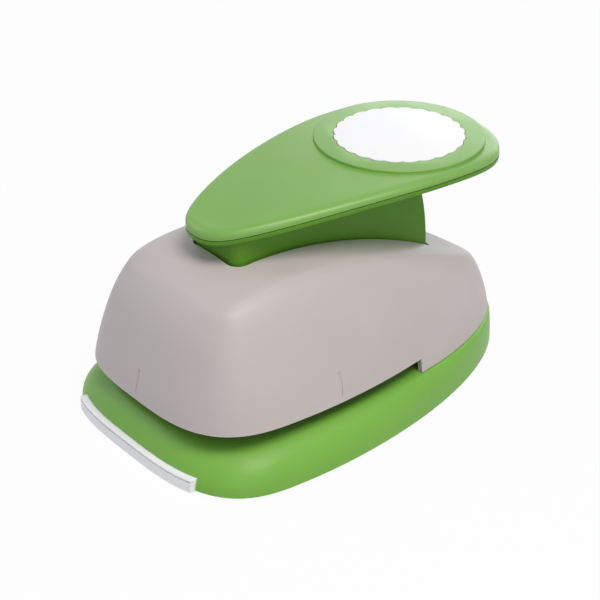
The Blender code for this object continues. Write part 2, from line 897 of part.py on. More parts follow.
# Posts and their springs
spring_low = frame_top + seat_gap
spring_high = bar_bottom - seat_gap


def spring_line(x, y):
    """Middle line of a spring's wire, with half a flat turn at each end."""
    low = spring_low + spring_wire / 2
    high = spring_high - spring_wire / 2
    line = []
    for step in range(spring_turns * spring_turn_points + 1):
        turn = step / spring_turn_points
        share = min(max((turn - spring_flat) / (spring_turns - 2 * spring_flat), 0.0), 1.0)
        angle = math.tau * turn
        line.append(
            (x + spring_radius * math.cos(angle), y + spring_radius * math.sin(angle), low + (high - low) * share)
        )
    return line


def least_gap(line):
    """Smallest distance between the wire's surfaces, over points at least half a turn apart."""
    apart = spring_turn_points // 2
    pairs = ((a, b) for i, a in enumerate(line) for b in line[i + apart :])
    return min(math.dist(a, b) for a, b in pairs) - spring_wire


for side, name in ((1, "left"), (-1, "right")):
    x = side * post_spacing / 2
    post = upright("guide_post_" + name, x, die_y, guide_top + seat_gap, guide_top + post_height, post_radius, 24)
    keep(post, pin_steel)
    route = spring_line(x, die_y)
    wire = bpy.data.curves.new("return_spring_" + name, "CURVE")
    wire.dimensions = "3D"
    wire.bevel_depth = spring_wire / 2
    wire.bevel_resolution = 1
    wire.use_fill_caps = True
    turns = wire.splines.new("POLY")
    turns.points.add(len(route) - 1)
    for point, place in zip(turns.points, route):
        point.co = (*place, 1)
    keep(bpy.data.objects.new("return_spring_" + name, wire), pin_steel)
    print("least gap in return_spring_" + name, round(1000 * least_gap(route), 2), "mm")

# Punch and its carrier, drawn up by the springs
punch_head = level_outline(
    "punch_head", scalloped(shape_radius - cutting_clearance, die_y), punch_bottom, punch_top
)
punch_carrier = upright("punch_carrier", 0, die_y, disc_bottom, disc_top, carrier_disc_radius, 36)
neck = upright("carrier_neck", 0, die_y, disc_bottom, bar_top, carrier_column_radius)
bar = block(
    "carrier_bar",
    (-post_spacing / 2, die_y - carrier_bar_width / 2, bar_bottom),
    (post_spacing / 2, die_y + carrier_bar_width / 2, bar_top),
)
pedestal = block(
    "carrier_pedestal",
    (-pedestal_length / 2, die_y - pedestal_width / 2, bar_bottom),
    (pedestal_length / 2, die_y + pedestal_width / 2, pedestal_top),
)
fuse(punch_carrier, as_cutter(neck), as_cutter(bar), as_cutter(pedestal))
for side, name in ((1, "left"), (-1, "right")):
    x = side * post_spacing / 2
    end = upright("carrier_end_" + name, x, die_y, bar_bottom, bar_top, carrier_bar_width / 2)
    fuse(punch_carrier, as_cutter(end))
for side, name in ((1, "left"), (-1, "right")):
    x = side * post_spacing / 2
    bush = upright("bush_" + name, x, die_y, frame_top, bar_top + overrun, post_radius + seat_gap, 24)
    cut(punch_carrier, as_cutter(bush))
punch_screw_top = disc_top + seat_gap
for side, name in ((1, "left"), (-1, "right")):
    x = side * punch_screw_spacing / 2
    low = punch_screw_top - punch_screw_length - seat_gap
    hole = upright("punch_screw_hole_" + name, x, die_y, low, disc_top + overrun / 2, screw_hole, small_facets)
    as_cutter(hole)
    cut(punch_head, hole)
    cut(punch_carrier, hole)
keep(punch_head, punch_steel, punch_axis)
keep(punch_carrier, frame_black, punch_axis)

# Pivot pin with its clip
pin_end = cheek_outer + clip_thickness + 4 * seat_gap + pin_head_thickness
groove_low = cheek_outer + seat_gap / 2
groove_high = groove_low + clip_thickness + 2 * seat_gap
groove_radius = pivot_radius - clip_thickness
pin_head = -cheek_outer - seat_gap
pivot_pin = turned(
    "pivot_pin",
    [
        (0, pin_end),
        (pivot_radius, pin_end),
        (pivot_radius, groove_high),
        (groove_radius, groove_high),
        (groove_radius, groove_low),
        (pivot_radius, groove_low),
        (pivot_radius, pin_head),
        (pin_head_radius, pin_head),
        (pin_head_radius, pin_head - pin_head_thickness),
        (0, pin_head - pin_head_thickness),
    ],
    (0, *pivot),
    (1, 0, 0),
    24,
)
keep(pivot_pin, pin_steel)
clip_outline = arc(pivot, clip_radius, -math.pi / 3, math.pi * 4 / 3, 20)
clip_outline += arc(pivot, groove_radius + seat_gap, math.pi * 4 / 3, -math.pi / 3, 14)
clip_low = groove_low + seat_gap
keep(side_outline("pivot_clip", clip_outline, clip_low, clip_low + clip_thickness), pin_steel)


# Lever
arch_y = at_reach(lever_arch_reach)
tip_y = at_reach(lever_front_reach)


def arch_at(y):
    """Height of the lever's lower edge, which arches from front to rear."""
    return lever_arch_height - (y - arch_y) ** 2 / (2 * lever_arch_radius)


def lever_half(steps=half_points):
    """The +X half of the lever's outline, a smooth curve through its stations."""
    stations = [
        (width * lever_width / 2, tip_y + share * lever_length)
        for share, width in zip(lever_station_shares, lever_width_shares)
    ]
    first = (0.0, tip_y)
    last = (0.0, tip_y + lever_length)
    before = (-stations[0][0], stations[0][1])
    after = (-stations[-1][0], stations[-1][1])
    knots = [before, first, *stations, last, after]
    fine = 20
    line = []
    for a, b, c, d in zip(knots, knots[1:], knots[2:], knots[3:]):
        for step in range(fine):
            t = step / fine
            line.append(
                tuple(
                    ((2 * q) + (r - p) * t + (2 * p - 5 * q + 4 * r - s) * t**2 + (3 * q - p - 3 * r + s) * t**3) / 2
                    for p, q, r, s in zip(a, b, c, d)
                )
            )
    line.append(last)
    return evenly(line, steps)


lever_loop = whole(lever_half())
rounded = [rim_round] * len(lever_loop)


def level_ring(shape, outline, height):
    return add_ring(shape, [(x, y, height(x, y)) for x, y in outline])


shape = bmesh.new()
under = level_ring(shape, drawn_in(lever_loop, rounded), lambda x, y: arch_at(y))
side_low = level_ring(shape, lever_loop, lambda x, y: arch_at(y) + rim_round)
side_high = level_ring(shape, lever_loop, lambda x, y: arch_at(y) + rim_thickness)
bridge(shape, under, side_low)
bridge(shape, side_low, side_high)
close_up(shape, under, arch_y, lambda x, y: arch_at(y))
close_up(shape, side_high, arch_y, lambda x, y: arch_at(y) + rim_thickness)
lever_body = from_bmesh("lever_body", shape)


def skirt_top(y, share):
    """A height inside the rim, this share of its thickness above its underside."""
    return arch_at(y) + rim_thickness * share


def rear_angle(radius, share):
    """Angle about the pivot at which an arc of this radius comes up to that height."""
    angle = math.asin((lever_arch_height - pivot_height) / radius)
    for _ in range(4):
        y = pivot_y + radius * math.cos(angle)
        angle = math.asin((skirt_top(y, share) - pivot_height) / radius)
    return angle


def skirt_roof(front, radius, share):
    """Points along the underside of the rim, from the skirt's rear wall to its front wall."""
    rear = pivot_y + radius * math.cos(rear_angle(radius, share))
    steps = 8
    places = [rear + (front - rear) * step / steps for step in range(1, steps + 1)]
    return [(y, skirt_top(y, share)) for y in places]


ear_start = math.acos((skirt_front_y - pivot_y) / pivot_boss)
low_angle = math.asin((skirt_low - pivot_height) / skirt_radius)
skirt_outline = arc(pivot, pivot_boss, ear_start, math.tau * 5 / 6, 12)
skirt_outline += [(at_reach(reach), skirt_waist) for reach in skirt_waist_reaches]
skirt_outline += arc(pivot, skirt_radius, low_angle, rear_angle(skirt_radius, 1 / 2), 8)
skirt_outline += skirt_roof(skirt_front_y, skirt_radius, 1 / 2)
skirt = side_outline("skirt", skirt_outline, -skirt_width / 2, skirt_width / 2)
corner_low = pivot_height + pivot_boss + slot_clearance
for side, name in ((1, "left"), (-1, "right")):
    near = skirt_front_y - slot_clearance
    far = side * (skirt_width / 2 + slot_clearance)
    corner = front_corner(side, skirt_width / 2, skirt_front_y, skirt_corner)
    corner = [(far, near), (far, corner[0][1]), *corner, (corner[-1][0], near)]
    cut(skirt, as_cutter(level_outline("skirt_corner_" + name, corner, corner_low, lever_arch_height)))
inner_radius = skirt_radius - wall
inner_front = skirt_front_y + wall
hollow_low = pivot_height - 2 * pivot_boss
hollow_front = pivot_y - 2 * pivot_boss
inner_low_angle = math.asin((hollow_low - pivot_height) / inner_radius)
hollow_outline = [(inner_front, skirt_front_low), (hollow_front, skirt_front_low), (hollow_front, hollow_low)]
hollow_outline += arc(pivot, inner_radius, inner_low_angle, rear_angle(inner_radius, 1 / 4), 10)
hollow_outline += skirt_roof(inner_front, inner_radius, 1 / 4)
hollow = side_outline("skirt_hollow", hollow_outline, -skirt_inner, skirt_inner)
roller_place = (0, die_y, roller_z)
roller_hole = rod("roller_hole", roller_place, roller_pin_radius + seat_gap, base_width, "X", small_facets)
fuse(lever_body, as_cutter(skirt))
cut(lever_body, as_cutter(hollow), as_cutter(roller_hole), pin_hole)

blade_floor = rim_thickness + blade_gap


def blade_at(x, y):
    """Height of the lever's upper face, a little crowned from side to side."""
    crown = blade_crown * (1 - (2 * x / lever_width) ** 2)
    return arch_at(y) + blade_floor + blade_height + crown


shape = bmesh.new()
rings = []
top_loop = drawn_in(lever_loop, [blade_edge] * len(lever_loop))
for height_share, inset_share in zip(blade_height_shares, blade_inset_shares):
    ring = []
    for (x, y), (tx, ty) in zip(drawn_in(lever_loop, [blade_edge * inset_share] * len(lever_loop)), top_loop):
        low = arch_at(y) + blade_floor
        ring.append((x, y, low + (blade_at(tx, ty) - low) * height_share))
    rings.append(add_ring(shape, ring))
for lower, upper in zip(rings, rings[1:]):
    bridge(shape, lower, upper)
close_up(shape, rings[-1], arch_y, blade_at)
blade_skin = BVHTree.FromBMesh(shape)
lever_top = from_bmesh("lever_top", shape)
thicken(lever_top, blade_wall)
pad_top = lever_arch_height + blade_floor + blade_height + blade_crown + pad_rise
pad = upright("pad", 0, pad_y, pad_top - pad_thickness, pad_top, pad_radius, 40)
fuse(lever_top, as_cutter(pad))
label_top = pad_top + label_proud
label_bottom = label_top - label_thickness
pocket = level_outline(
    "label_pocket", scalloped(shape_radius + seat_gap, pad_y), label_bottom - seat_gap, label_top + overrun
)
for reach, name in zip(lever_screw_reaches, ("front", "rear")):
    y = at_reach(reach)
    seat = arch_at(y) - 2 * seat_gap
    boss = column("blade_boss_" + name, blade_skin, 0, y, arch_at(y) + blade_floor + seat_gap, screw_boss_radius)
    tip = seat + lever_screw_length + seat_gap
    hole = upright("blade_hole_" + name, 0, y, pivot_height, tip, screw_hole, small_facets)
    as_cutter(hole)
    fuse(lever_top, boss)
    cut(lever_top, hole)
    cut(lever_body, hole)
cut(lever_top, as_cutter(pocket))
keep(lever_body, skirt_green, lever_axis)
keep(lever_top, lever_green, lever_axis)
label = level_outline("shape_label", scalloped(shape_radius, pad_y), label_bottom, label_top)
keep(label, label_white, lever_axis)
press_roller = rod("press_roller", roller_place, roller_radius, roller_length, "X", 24)
cut(press_roller, roller_hole)
keep(press_roller, pin_steel, lever_axis)
roller_pin_length = skirt_width - 2 * seat_gap
keep(rod("roller_pin", roller_place, roller_pin_radius, roller_pin_length, "X", 24), pin_steel, lever_axis)

# Screws, each with a round drive socket in its head


def screw(name, seat, length, facing, carrier=None):
    """A screw whose head rests at the seat and faces this way, with its shank behind it."""
    socket_radius = screw_head_radius / 2
    socket_floor = screw_head_thickness / 2
    profile = [
        (0, socket_floor),
        (socket_radius, socket_floor),
        (socket_radius, screw_head_thickness),
        (0.85 * screw_head_radius, screw_head_thickness),
        (screw_head_radius, 0.7 * screw_head_thickness),
        (screw_head_radius, 0),
        (screw_radius, 0),
        (screw_radius, screw_radius - length),
        (screw_radius / 2, -length),
        (0, -length),
    ]
    return keep(turned(name, profile, seat, facing), screw_steel, carrier)


for name, x in throat_screws.items():
    screw("throat_screw_" + name, (x, throat_screw_y, throat_screw_top), throat_screw_length, (0, 0, 1))
for name, (x, y) in frame_screws.items():
    screw("frame_screw_" + name, (x, y, frame_screw_seat), frame_screw_length, (0, 0, -1))
for place, name in (("mid_left", "left"), ("mid_right", "right"), ("rear", "rear")):
    x, y = cover_screws[place]
    screw("cover_screw_" + name, (x, y, cover_screw_seat(y)), cover_screw_length, (0, 0, -1))
for side, name in ((1, "left"), (-1, "right")):
    x = side * punch_screw_spacing / 2
    screw("punch_screw_" + name, (x, die_y, punch_screw_top), punch_screw_length, (0, 0, 1), punch_axis)
for reach, name in zip(lever_screw_reaches, ("front", "rear")):
    y = at_reach(reach)
    screw("lever_screw_" + name, (0, y, arch_at(y) - 2 * seat_gap), lever_screw_length, (0, 0, -1), lever_axis)

# Drawer: a lip that follows the front of the base, and an open tray with a flange on each side
lip_half = tray_half_opening - seat_gap
base_front = sorted((x, y) for x, y in base_loop if y < pivot_y)


def front_edge(x):
    """Y of the drawer's front face, a little in front of the base's own outline."""
    return float(np.interp(x, *zip(*base_front))) - tray_proud


lip_steps = 12
lip_places = [lip_half * (2 * step / lip_steps - 1) for step in range(lip_steps + 1)]
front_line = [(x, front_edge(x)) for x in lip_places]
lip_rear = at_reach(tray_lip_reach)
tray_rear = at_reach(tray_rear_reach)
left_side = [(-tray_half_body, tray_rear), (-tray_half_body, lip_rear), (-lip_half, lip_rear)]
right_side = [(-x, y) for x, y in reversed(left_side)]
bottom_tray = level_outline("bottom_tray", left_side + front_line + right_side, foot_stand, tray_top)
flange = block(
    "tray_flange",
    (seat_gap - lip_half, lip_rear - tray_flange, tray_top - tray_flange_thickness),
    (lip_half - seat_gap, tray_rear - tray_wall / 2, tray_top - seat_gap),
)
tray_hollow = block(
    "tray_hollow",
    (tray_wall - tray_half_body, at_reach(tray_hollow_reach), foot_stand + tray_wall),
    (tray_half_body - tray_wall, tray_rear - tray_wall, tray_top + overrun),
)
fuse(bottom_tray, as_cutter(flange))
cut(bottom_tray, as_cutter(tray_hollow))
keep(bottom_tray, tray_white, tray_axis)

# Rubber feet
for name, (x, y) in foot_places.items():
    keep(upright("foot_" + name, x, y, 0, foot_top, foot_radius, 24), rubber_grey)
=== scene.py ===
import math

import bmesh
import bpy
from mathutils import Matrix, Vector
from mathutils.bvhtree import BVHTree


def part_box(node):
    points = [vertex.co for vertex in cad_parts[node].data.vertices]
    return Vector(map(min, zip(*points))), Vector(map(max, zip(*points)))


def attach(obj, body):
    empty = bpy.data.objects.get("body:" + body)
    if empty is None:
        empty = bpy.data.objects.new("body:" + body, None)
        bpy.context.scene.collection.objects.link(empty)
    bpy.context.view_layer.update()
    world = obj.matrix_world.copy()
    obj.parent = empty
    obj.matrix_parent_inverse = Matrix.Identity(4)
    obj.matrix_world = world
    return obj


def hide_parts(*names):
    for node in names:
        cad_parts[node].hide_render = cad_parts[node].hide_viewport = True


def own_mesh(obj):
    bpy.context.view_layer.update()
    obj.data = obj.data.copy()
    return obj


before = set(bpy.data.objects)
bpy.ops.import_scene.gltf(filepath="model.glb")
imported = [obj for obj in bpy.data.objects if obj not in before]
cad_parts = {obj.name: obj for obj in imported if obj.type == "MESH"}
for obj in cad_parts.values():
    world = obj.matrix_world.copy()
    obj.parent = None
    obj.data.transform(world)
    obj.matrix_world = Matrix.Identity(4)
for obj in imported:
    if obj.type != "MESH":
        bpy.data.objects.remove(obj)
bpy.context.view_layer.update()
scene = bpy.context.scene

# Base casing. An egg-shaped tub of green moulded plastic, open underneath, low and wide at the card's end.
# Its deck is level as far as the card slot reaches and falls a little behind it. Inside it are the bed
# for the steel plates, the chute, the drawer's rails and the columns that the rubber feet sit in.
seat_gap = 0.0003
overrun = 0.004
wall = 0.0024
base_low, base_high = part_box("base_shell")
box_margin = 0.00002
base_length = base_high.y - base_low.y
base_width = base_high.x - base_low.x - 2 * box_margin
base_widest_reach = 0.0435
base_front_power = 3.3
base_rear_power = 1.8
foot_stand = 0.0008
hem_round = 0.0005
deck_height = 0.0165
deck_width = 0.089
deck_front_inset = 0.0105
deck_rear_inset = 0.001
deck_widest_reach = 0.0795
deck_front_power = 2.8
deck_rear_power = 1.85
deck_rear_drop = 0.0037
throat_reach = 0.1055
tray_half_opening = 0.0372
tray_top = 0.0061
front_y = base_low.y
outline_steps = 72
outline_fineness = 30
flank_steps = 14
cap_shares = (0.93, 0.82, 0.68, 0.52, 0.34, 0.16)
rod_facets = 64
column_facets = 48
column_samples = 24
skin_left = 0.0007
chute_facets = 96


def at_reach(reach):
    """Y of a place that lies this far behind the front end of the base."""
    return front_y + reach


def place_of(name):
    """A CAD node's lowest corner, its highest corner and its middle."""
    low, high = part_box(name)
    return low, high, (low + high) / 2


def evenly(line, steps):
    """Points at equal distances along a line, its two ends included."""
    lengths = [0.0]
    for before, after in zip(line, line[1:]):
        lengths.append(lengths[-1] + math.dist(before, after))
    points = []
    place = 0
    for step in range(steps + 1):
        target = lengths[-1] * step / steps
        while place < len(line) - 2 and lengths[place + 1] < target:
            place += 1
        share = (target - lengths[place]) / (lengths[place + 1] - lengths[place])
        points.append(tuple(a + (b - a) * share for a, b in zip(line[place], line[place + 1])))
    return points


def egg_half(front, widest, rear, width, front_power, rear_power):
    """The +X half of an egg-shaped outline, from its front tip to its rear tip."""
    fine = outline_fineness * outline_steps
    line = []
    for step in range(fine + 1):
        angle = math.pi * (step / fine - 0.5)
        power = front_power if angle < 0 else rear_power
        reach = widest - front if angle < 0 else rear - widest
        across = abs(math.cos(angle)) ** (2 / power)
        along = math.copysign(abs(math.sin(angle)) ** (2 / power), angle)
        line.append((width / 2 * across, widest + reach * along))
    line[0] = (0.0, front)
    line[-1] = (0.0, rear)
    return evenly(line, outline_steps)


def whole(half):
    """Both halves of an outline, round from its front tip over +X."""
    return half + [(-x, y) for x, y in reversed(half[1:-1])]


def drawn_in(outline, depths):
    """The outline moved inwards, by its own depth at each point."""
    count = len(outline)
    moved = []
    for i, (x, y) in enumerate(outline):
        before = outline[i - 1]
        after = outline[(i + 1) % count]
        dx = after[0] - before[0]
        dy = after[1] - before[1]
        length = math.hypot(dx, dy)
        moved.append((x - depths[i] * dy / length, y + depths[i] * dx / length))
    return moved


def add_ring(shape, points):
    return [shape.verts.new(point) for point in points]


def bridge(shape, lower, upper):
    """Faces between two rings of the same count."""
    count = len(lower)
    for i in range(count):
        j = (i + 1) % count
        shape.faces.new((lower[i], lower[j], upper[j], upper[i]))


def bridge_all(shape, rings):
    """Faces between each ring and the next."""
    for lower, upper in zip(rings, rings[1:]):
        bridge(shape, lower, upper)


def level_ring(shape, outline, height):
    """A ring whose points each take the height of their place."""
    return add_ring(shape, [(x, y, height(x, y)) for x, y in outline])


def close_up(shape, ring, middle_y, height):
    """Fills a ring with smaller rings about a middle point, each point at the height of its place."""
    edge = [(point.co.x, point.co.y) for point in ring]
    outer = ring
    for share in cap_shares:
        places = [(x * share, middle_y + (y - middle_y) * share) for x, y in edge]
        inner = level_ring(shape, places, height)
        bridge(shape, outer, inner)
        outer = inner
    middle = shape.verts.new((0, middle_y, height(0, middle_y)))
    for before, after in zip(outer, outer[1:] + outer[:1]):
        shape.faces.new((before, after, middle))


def from_bmesh(name, shape):
    """An object that holds this shape, with its faces turned outwards."""
    bmesh.ops.recalc_face_normals(shape, faces=shape.faces)
    mesh = bpy.data.meshes.new(name)
    shape.to_mesh(mesh)
    shape.free()
    return bpy.data.objects.new(name, mesh)


def block(name, low, high):
    """A box between two corners."""
    shape = bmesh.new()
    size = [b - a for a, b in zip(low, high)]
    middle = [(a + b) / 2 for a, b in zip(low, high)]
    bmesh.ops.create_cube(shape, size=1.0, matrix=Matrix.Translation(middle) @ Matrix.Diagonal((*size, 1.0)))
    return from_bmesh(name, shape)


def rod(name, centre, radius, length, along="Z", facets=rod_facets):
    """A round bar centred on a point, along X or Z."""
    turn = Matrix.Rotation(math.pi / 2, 4, "Y") if along == "X" else Matrix.Identity(4)
    shape = bmesh.new()
    bmesh.ops.create_cone(
        shape,
        cap_ends=True,
        segments=facets,
        radius1=radius,
        radius2=radius,
        depth=length,
        matrix=Matrix.Translation(centre) @ turn,
    )
    return from_bmesh(name, shape)


def upright(name, x, y, low, high, radius, facets=rod_facets):
    """A round bar that stands between two heights."""
    return rod(name, (x, y, (low + high) / 2), radius, high - low, "Z", facets)


def thicken(piece, thickness):
    """Gives an open surface a wall on its inner side."""
    shell = piece.modifiers.new("wall", "SOLIDIFY")
    shell.thickness = thickness
    shell.offset = -1.0
    shell.use_even_offset = True
    shell.use_quality_normals = True


def soften(mesh, sharp_from=30):
    """Smooth shading, with the edges that turn by this many degrees or more kept sharp."""
    mesh.shade_smooth()
    mesh.set_sharp_from_angle(angle=math.radians(sharp_from))


tools = bpy.data.collections.new("shaping_tools")


def shaped(piece, joined=(), taken=(), one_by_one=False):
    """The piece with helper solids joined to it and taken from it, all at once or one after another."""
    helpers = [*joined, *taken]
    for solid in helpers:
        tools.objects.link(solid)
    for operation, solids in (("UNION", joined), ("DIFFERENCE", taken)):
        sets = [[solid] for solid in solids] if one_by_one else [solids] if solids else []
        for some in sets:
            tool_set = bpy.data.collections.new(piece.name + "_" + operation.lower())
            for solid in some:
                tool_set.objects.link(solid)
            change = piece.modifiers.new(operation.lower(), "BOOLEAN")
            change.operation = operation
            change.operand_type = "COLLECTION"
            change.collection = tool_set
    scene.collection.children.link(tools)
    scene.collection.objects.link(piece)
    bpy.context.view_layer.update()
    seen = piece.evaluated_get(bpy.context.evaluated_depsgraph_get())
    mesh = bpy.data.meshes.new_from_object(seen)
    piece.modifiers.clear()
    piece.data = mesh
    mesh.name = piece.name
    soften(mesh)
    scene.collection.children.unlink(tools)
    for solid in helpers:
        bpy.data.objects.remove(solid, do_unlink=True)
    return piece


def rise(skin, x, y):
    """Height of an open casing's outer surface straight above a place."""
    return skin.ray_cast(Vector((x, y, -base_length)), Vector((0, 0, 1)))[0].z


def column(name, skin, x, y, low, radius):
    """A round column under a casing, as tall as its outer surface lets it be."""
    around = [i * math.tau / column_samples for i in range(column_samples)]
    tops = [rise(skin, x + radius * math.cos(a), y + radius * math.sin(a)) for a in around]
    return upright(name, x, y, low, min(tops) - skin_left, radius, column_facets)


rear_y = at_reach(base_length)
throat_y = at_reach(throat_reach)
deck_rear_y = rear_y - deck_rear_inset
base_loop = whole(
    egg_half(front_y, at_reach(base_widest_reach), rear_y, base_width, base_front_power, base_rear_power)
)
deck_front_y = at_reach(deck_front_inset)
deck_widest_y = at_reach(deck_widest_reach)
deck_loop = whole(
    egg_half(deck_front_y, deck_widest_y, deck_rear_y, deck_width, deck_front_power, deck_rear_power)
)


def deck_at(y):
    """Height of the deck, which is level up to the throat and then falls to the rear."""
    behind = max(0.0, y - throat_y) / (deck_rear_y - throat_y)
    return deck_height - deck_rear_drop * behind


die_low, die_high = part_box("die_plate")
punch_low, punch_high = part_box("punch_head")
die_y = punch_low.y / 2 + punch_high.y / 2
shape = bmesh.new()
hem = drawn_in(base_loop, [hem_round] * len(base_loop))
rings = [add_ring(shape, [(x, y, foot_stand) for x, y in hem])]
for step in range(flank_steps + 1):
    angle = math.pi / 2 * step / flank_steps
    inward = 1 - math.cos(angle)
    low = foot_stand + hem_round
    ring = []
    for (bx, by), (dx, dy) in zip(base_loop, deck_loop):
        x = bx + (dx - bx) * inward
        y = by + (dy - by) * inward
        ring.append((x, y, low + (deck_at(dy) - low) * math.sin(angle)))
    rings.append(add_ring(shape, ring))
bridge_all(shape, rings)
close_up(shape, rings[-1], die_y, lambda x, y: deck_at(y))
base_skin = BVHTree.FromBMesh(shape)
base_shell = from_bmesh("base_casing", shape)
thicken(base_shell, wall)
bed_floor = 0.0021
bed_rim_drop = 0.7 * wall
bed_low = (die_low.x - seat_gap - wall, die_low.y - seat_gap - wall, die_low.z - seat_gap - bed_floor)
bed_high = (die_high.x + seat_gap + wall, die_high.y + seat_gap + wall, die_high.z - bed_rim_drop)
under_bed = bed_low[2] + bed_floor / 2
base_joined = [block("plate_bed", bed_low, bed_high)]
rail_front_reach = 0.0175
rail_lip = 0.0014
rail_width = 0.0024
flange_depth = 0.003
tray_low, tray_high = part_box("bottom_tray")
rail_low = tray_top - 2 * rail_lip - seat_gap
rail_front = at_reach(rail_front_reach)
rail_rear = tray_high.y + seat_gap
lip_top = rail_low + rail_lip
for side in (1, -1):
    web = sorted((side * tray_half_opening, side * (tray_half_opening + rail_width)))
    lip = sorted((side * (tray_half_opening - flange_depth), side * (tray_half_opening + rail_width / 2)))
    base_joined.append(block("rail_web", (web[0], rail_front, rail_low), (web[1], rail_rear, under_bed)))
    base_joined.append(block("rail_lip", (lip[0], rail_front, rail_low), (lip[1], rail_rear, lip_top)))
foot_names = ("foot_front_left", "foot_front_right", "foot_rear_left", "foot_rear_right")
foot_column_radius = 0.0066
base_taken = []
for name in foot_names:
    low, high, middle = place_of(name)
    base_joined.append(column("foot_column", base_skin, middle.x, middle.y, foot_stand, foot_column_radius))
    pocket_radius = (high.x - low.x) / 2 + seat_gap
    base_taken.append(upright("foot_pocket", middle.x, middle.y, -overrun, high.z + seat_gap, pocket_radius))
screw_radius = 0.0014
screw_hole = screw_radius + seat_gap
boss_radius = 0.004
throat_screw_names = ("throat_screw_left", "throat_screw_right")
for name in throat_screw_names:
    low, high, middle = place_of(name)
    base_joined.append(upright("throat_boss", middle.x, middle.y, low.z - wall, under_bed, boss_radius))
    base_taken.append(upright("throat_hole", middle.x, middle.y, low.z - seat_gap, high.z, screw_hole))
cover_screw_names = ("cover_screw_left", "cover_screw_right", "cover_screw_rear")
for name in cover_screw_names:
    high, middle = place_of(name)[1:]
    base_taken.append(upright("cover_screw_hole", middle.x, middle.y, 0, high.z, screw_hole))
chute_radius = 0.0275
opening_reach = 0.0135
base_taken.append(upright("chute", 0, die_y, 0, deck_height + overrun, chute_radius, chute_facets))
pocket_low = (die_low.x - seat_gap, die_low.y - seat_gap, die_low.z - seat_gap)
pocket_high = (die_high.x + seat_gap, die_high.y + seat_gap, deck_height + overrun)
base_taken.append(block("plate_pocket", pocket_low, pocket_high))
opening_low = (-tray_half_opening, front_y - overrun, -overrun)
opening_high = (tray_half_opening, at_reach(opening_reach), tray_top + seat_gap)
base_taken.append(block("drawer_opening", opening_low, opening_high))
shaped(base_shell, base_joined, base_taken)


plastic_ior = 1.5
spark_grain = 3200.0
spark_depth = 0.00001
spark_strength = 0.35
flow_marks = 28.0
hand_marks = 90.0
rub_marks = 420.0
rubbed_width = 0.0006
rubbed_most = 0.5
rubbed_turn = 0.86
gloss_swing = 0.05
noise_middle = (0.3, 0.7)
noise_patches = (0.35, 0.7)
bevel_samples = 4


def srgb(red, green, blue):
    """A colour given as it looks on a screen, from 0 to 255, in linear light."""
    shares = [value / 255 for value in (red, green, blue)]
    return tuple(s / 12.92 if s <= 0.04045 else ((s + 0.055) / 1.055) ** 2.4 for s in shares) + (1.0,)


def group(name, inputs, outputs):
    """An empty shader node group with number inputs and outputs, and its two end nodes."""
    tree = bpy.data.node_groups.new(name, "ShaderNodeTree")
    for label, default in inputs:
        socket = tree.interface.new_socket(label, in_out="INPUT", socket_type="NodeSocketFloat")
        socket.default_value = default
    for label in outputs:
        tree.interface.new_socket(label, in_out="OUTPUT", socket_type="NodeSocketFloat")
    return tree, tree.nodes.new("NodeGroupInput"), tree.nodes.new("NodeGroupOutput")


def noise(tree, place, scale, detail, roughness=0.5):
    """A noise texture in the piece's own space; the scale is a number or a socket."""
    node = tree.nodes.new("ShaderNodeTexNoise")
    node.inputs["Detail"].default_value = detail
    node.inputs["Roughness"].default_value = roughness
    tree.links.new(place, node.inputs["Vector"])
    if isinstance(scale, (int, float)):
        node.inputs["Scale"].default_value = scale
    else:
        tree.links.new(scale, node.inputs["Scale"])
    return node.outputs["Fac"]


def maths(tree, operation, *values):
    """A Math node on numbers or sockets, as its output."""
    node = tree.nodes.new("ShaderNodeMath")
    node.operation = operation
    for socket, value in zip(node.inputs, values):
        if isinstance(value, (int, float)):
            socket.default_value = value
        else:
            tree.links.new(value, socket)
    return node.outputs[0]


def spread(tree, value, low, high, to_low, to_high):
    """A value moved from one range to another, clamped at both ends."""
    node = tree.nodes.new("ShaderNodeMapRange")
    for socket, number in zip(node.inputs[1:5], (low, high, to_low, to_high)):
        socket.default_value = number
    tree.links.new(value, node.inputs["Value"])
    return node.outputs["Result"]


def weighed(tree, first, first_share, second, second_share):
    """The sum of two values, each by its own share."""
    return maths(
        tree,
        "ADD",
        maths(tree, "MULTIPLY", first, first_share),
        maths(tree, "MULTIPLY", second, second_share),
    )


def moulded_grain_group():
    """The surface of a moulded piece: a spark-eroded grain, slow flow marks and places of other gloss."""
    tree, given, result = group(
        "moulded_grain",
        [("Grain Scale", spark_grain), ("Flow Scale", flow_marks)],
        ["Tone", "Height", "Gloss"],
    )
    place = tree.nodes.new("ShaderNodeTexCoord").outputs["Object"]
    fine = noise(tree, place, given.outputs["Grain Scale"], 3.0, 0.6)
    flow = noise(tree, place, given.outputs["Flow Scale"], 2.0)
    handling = noise(tree, place, hand_marks, 4.0, 0.65)
    tree.links.new(weighed(tree, flow, 0.7, fine, 0.3), result.inputs["Tone"])
    tree.links.new(fine, result.inputs["Height"])
    tree.links.new(weighed(tree, handling, 0.6, flow, 0.4), result.inputs["Gloss"])
    return tree


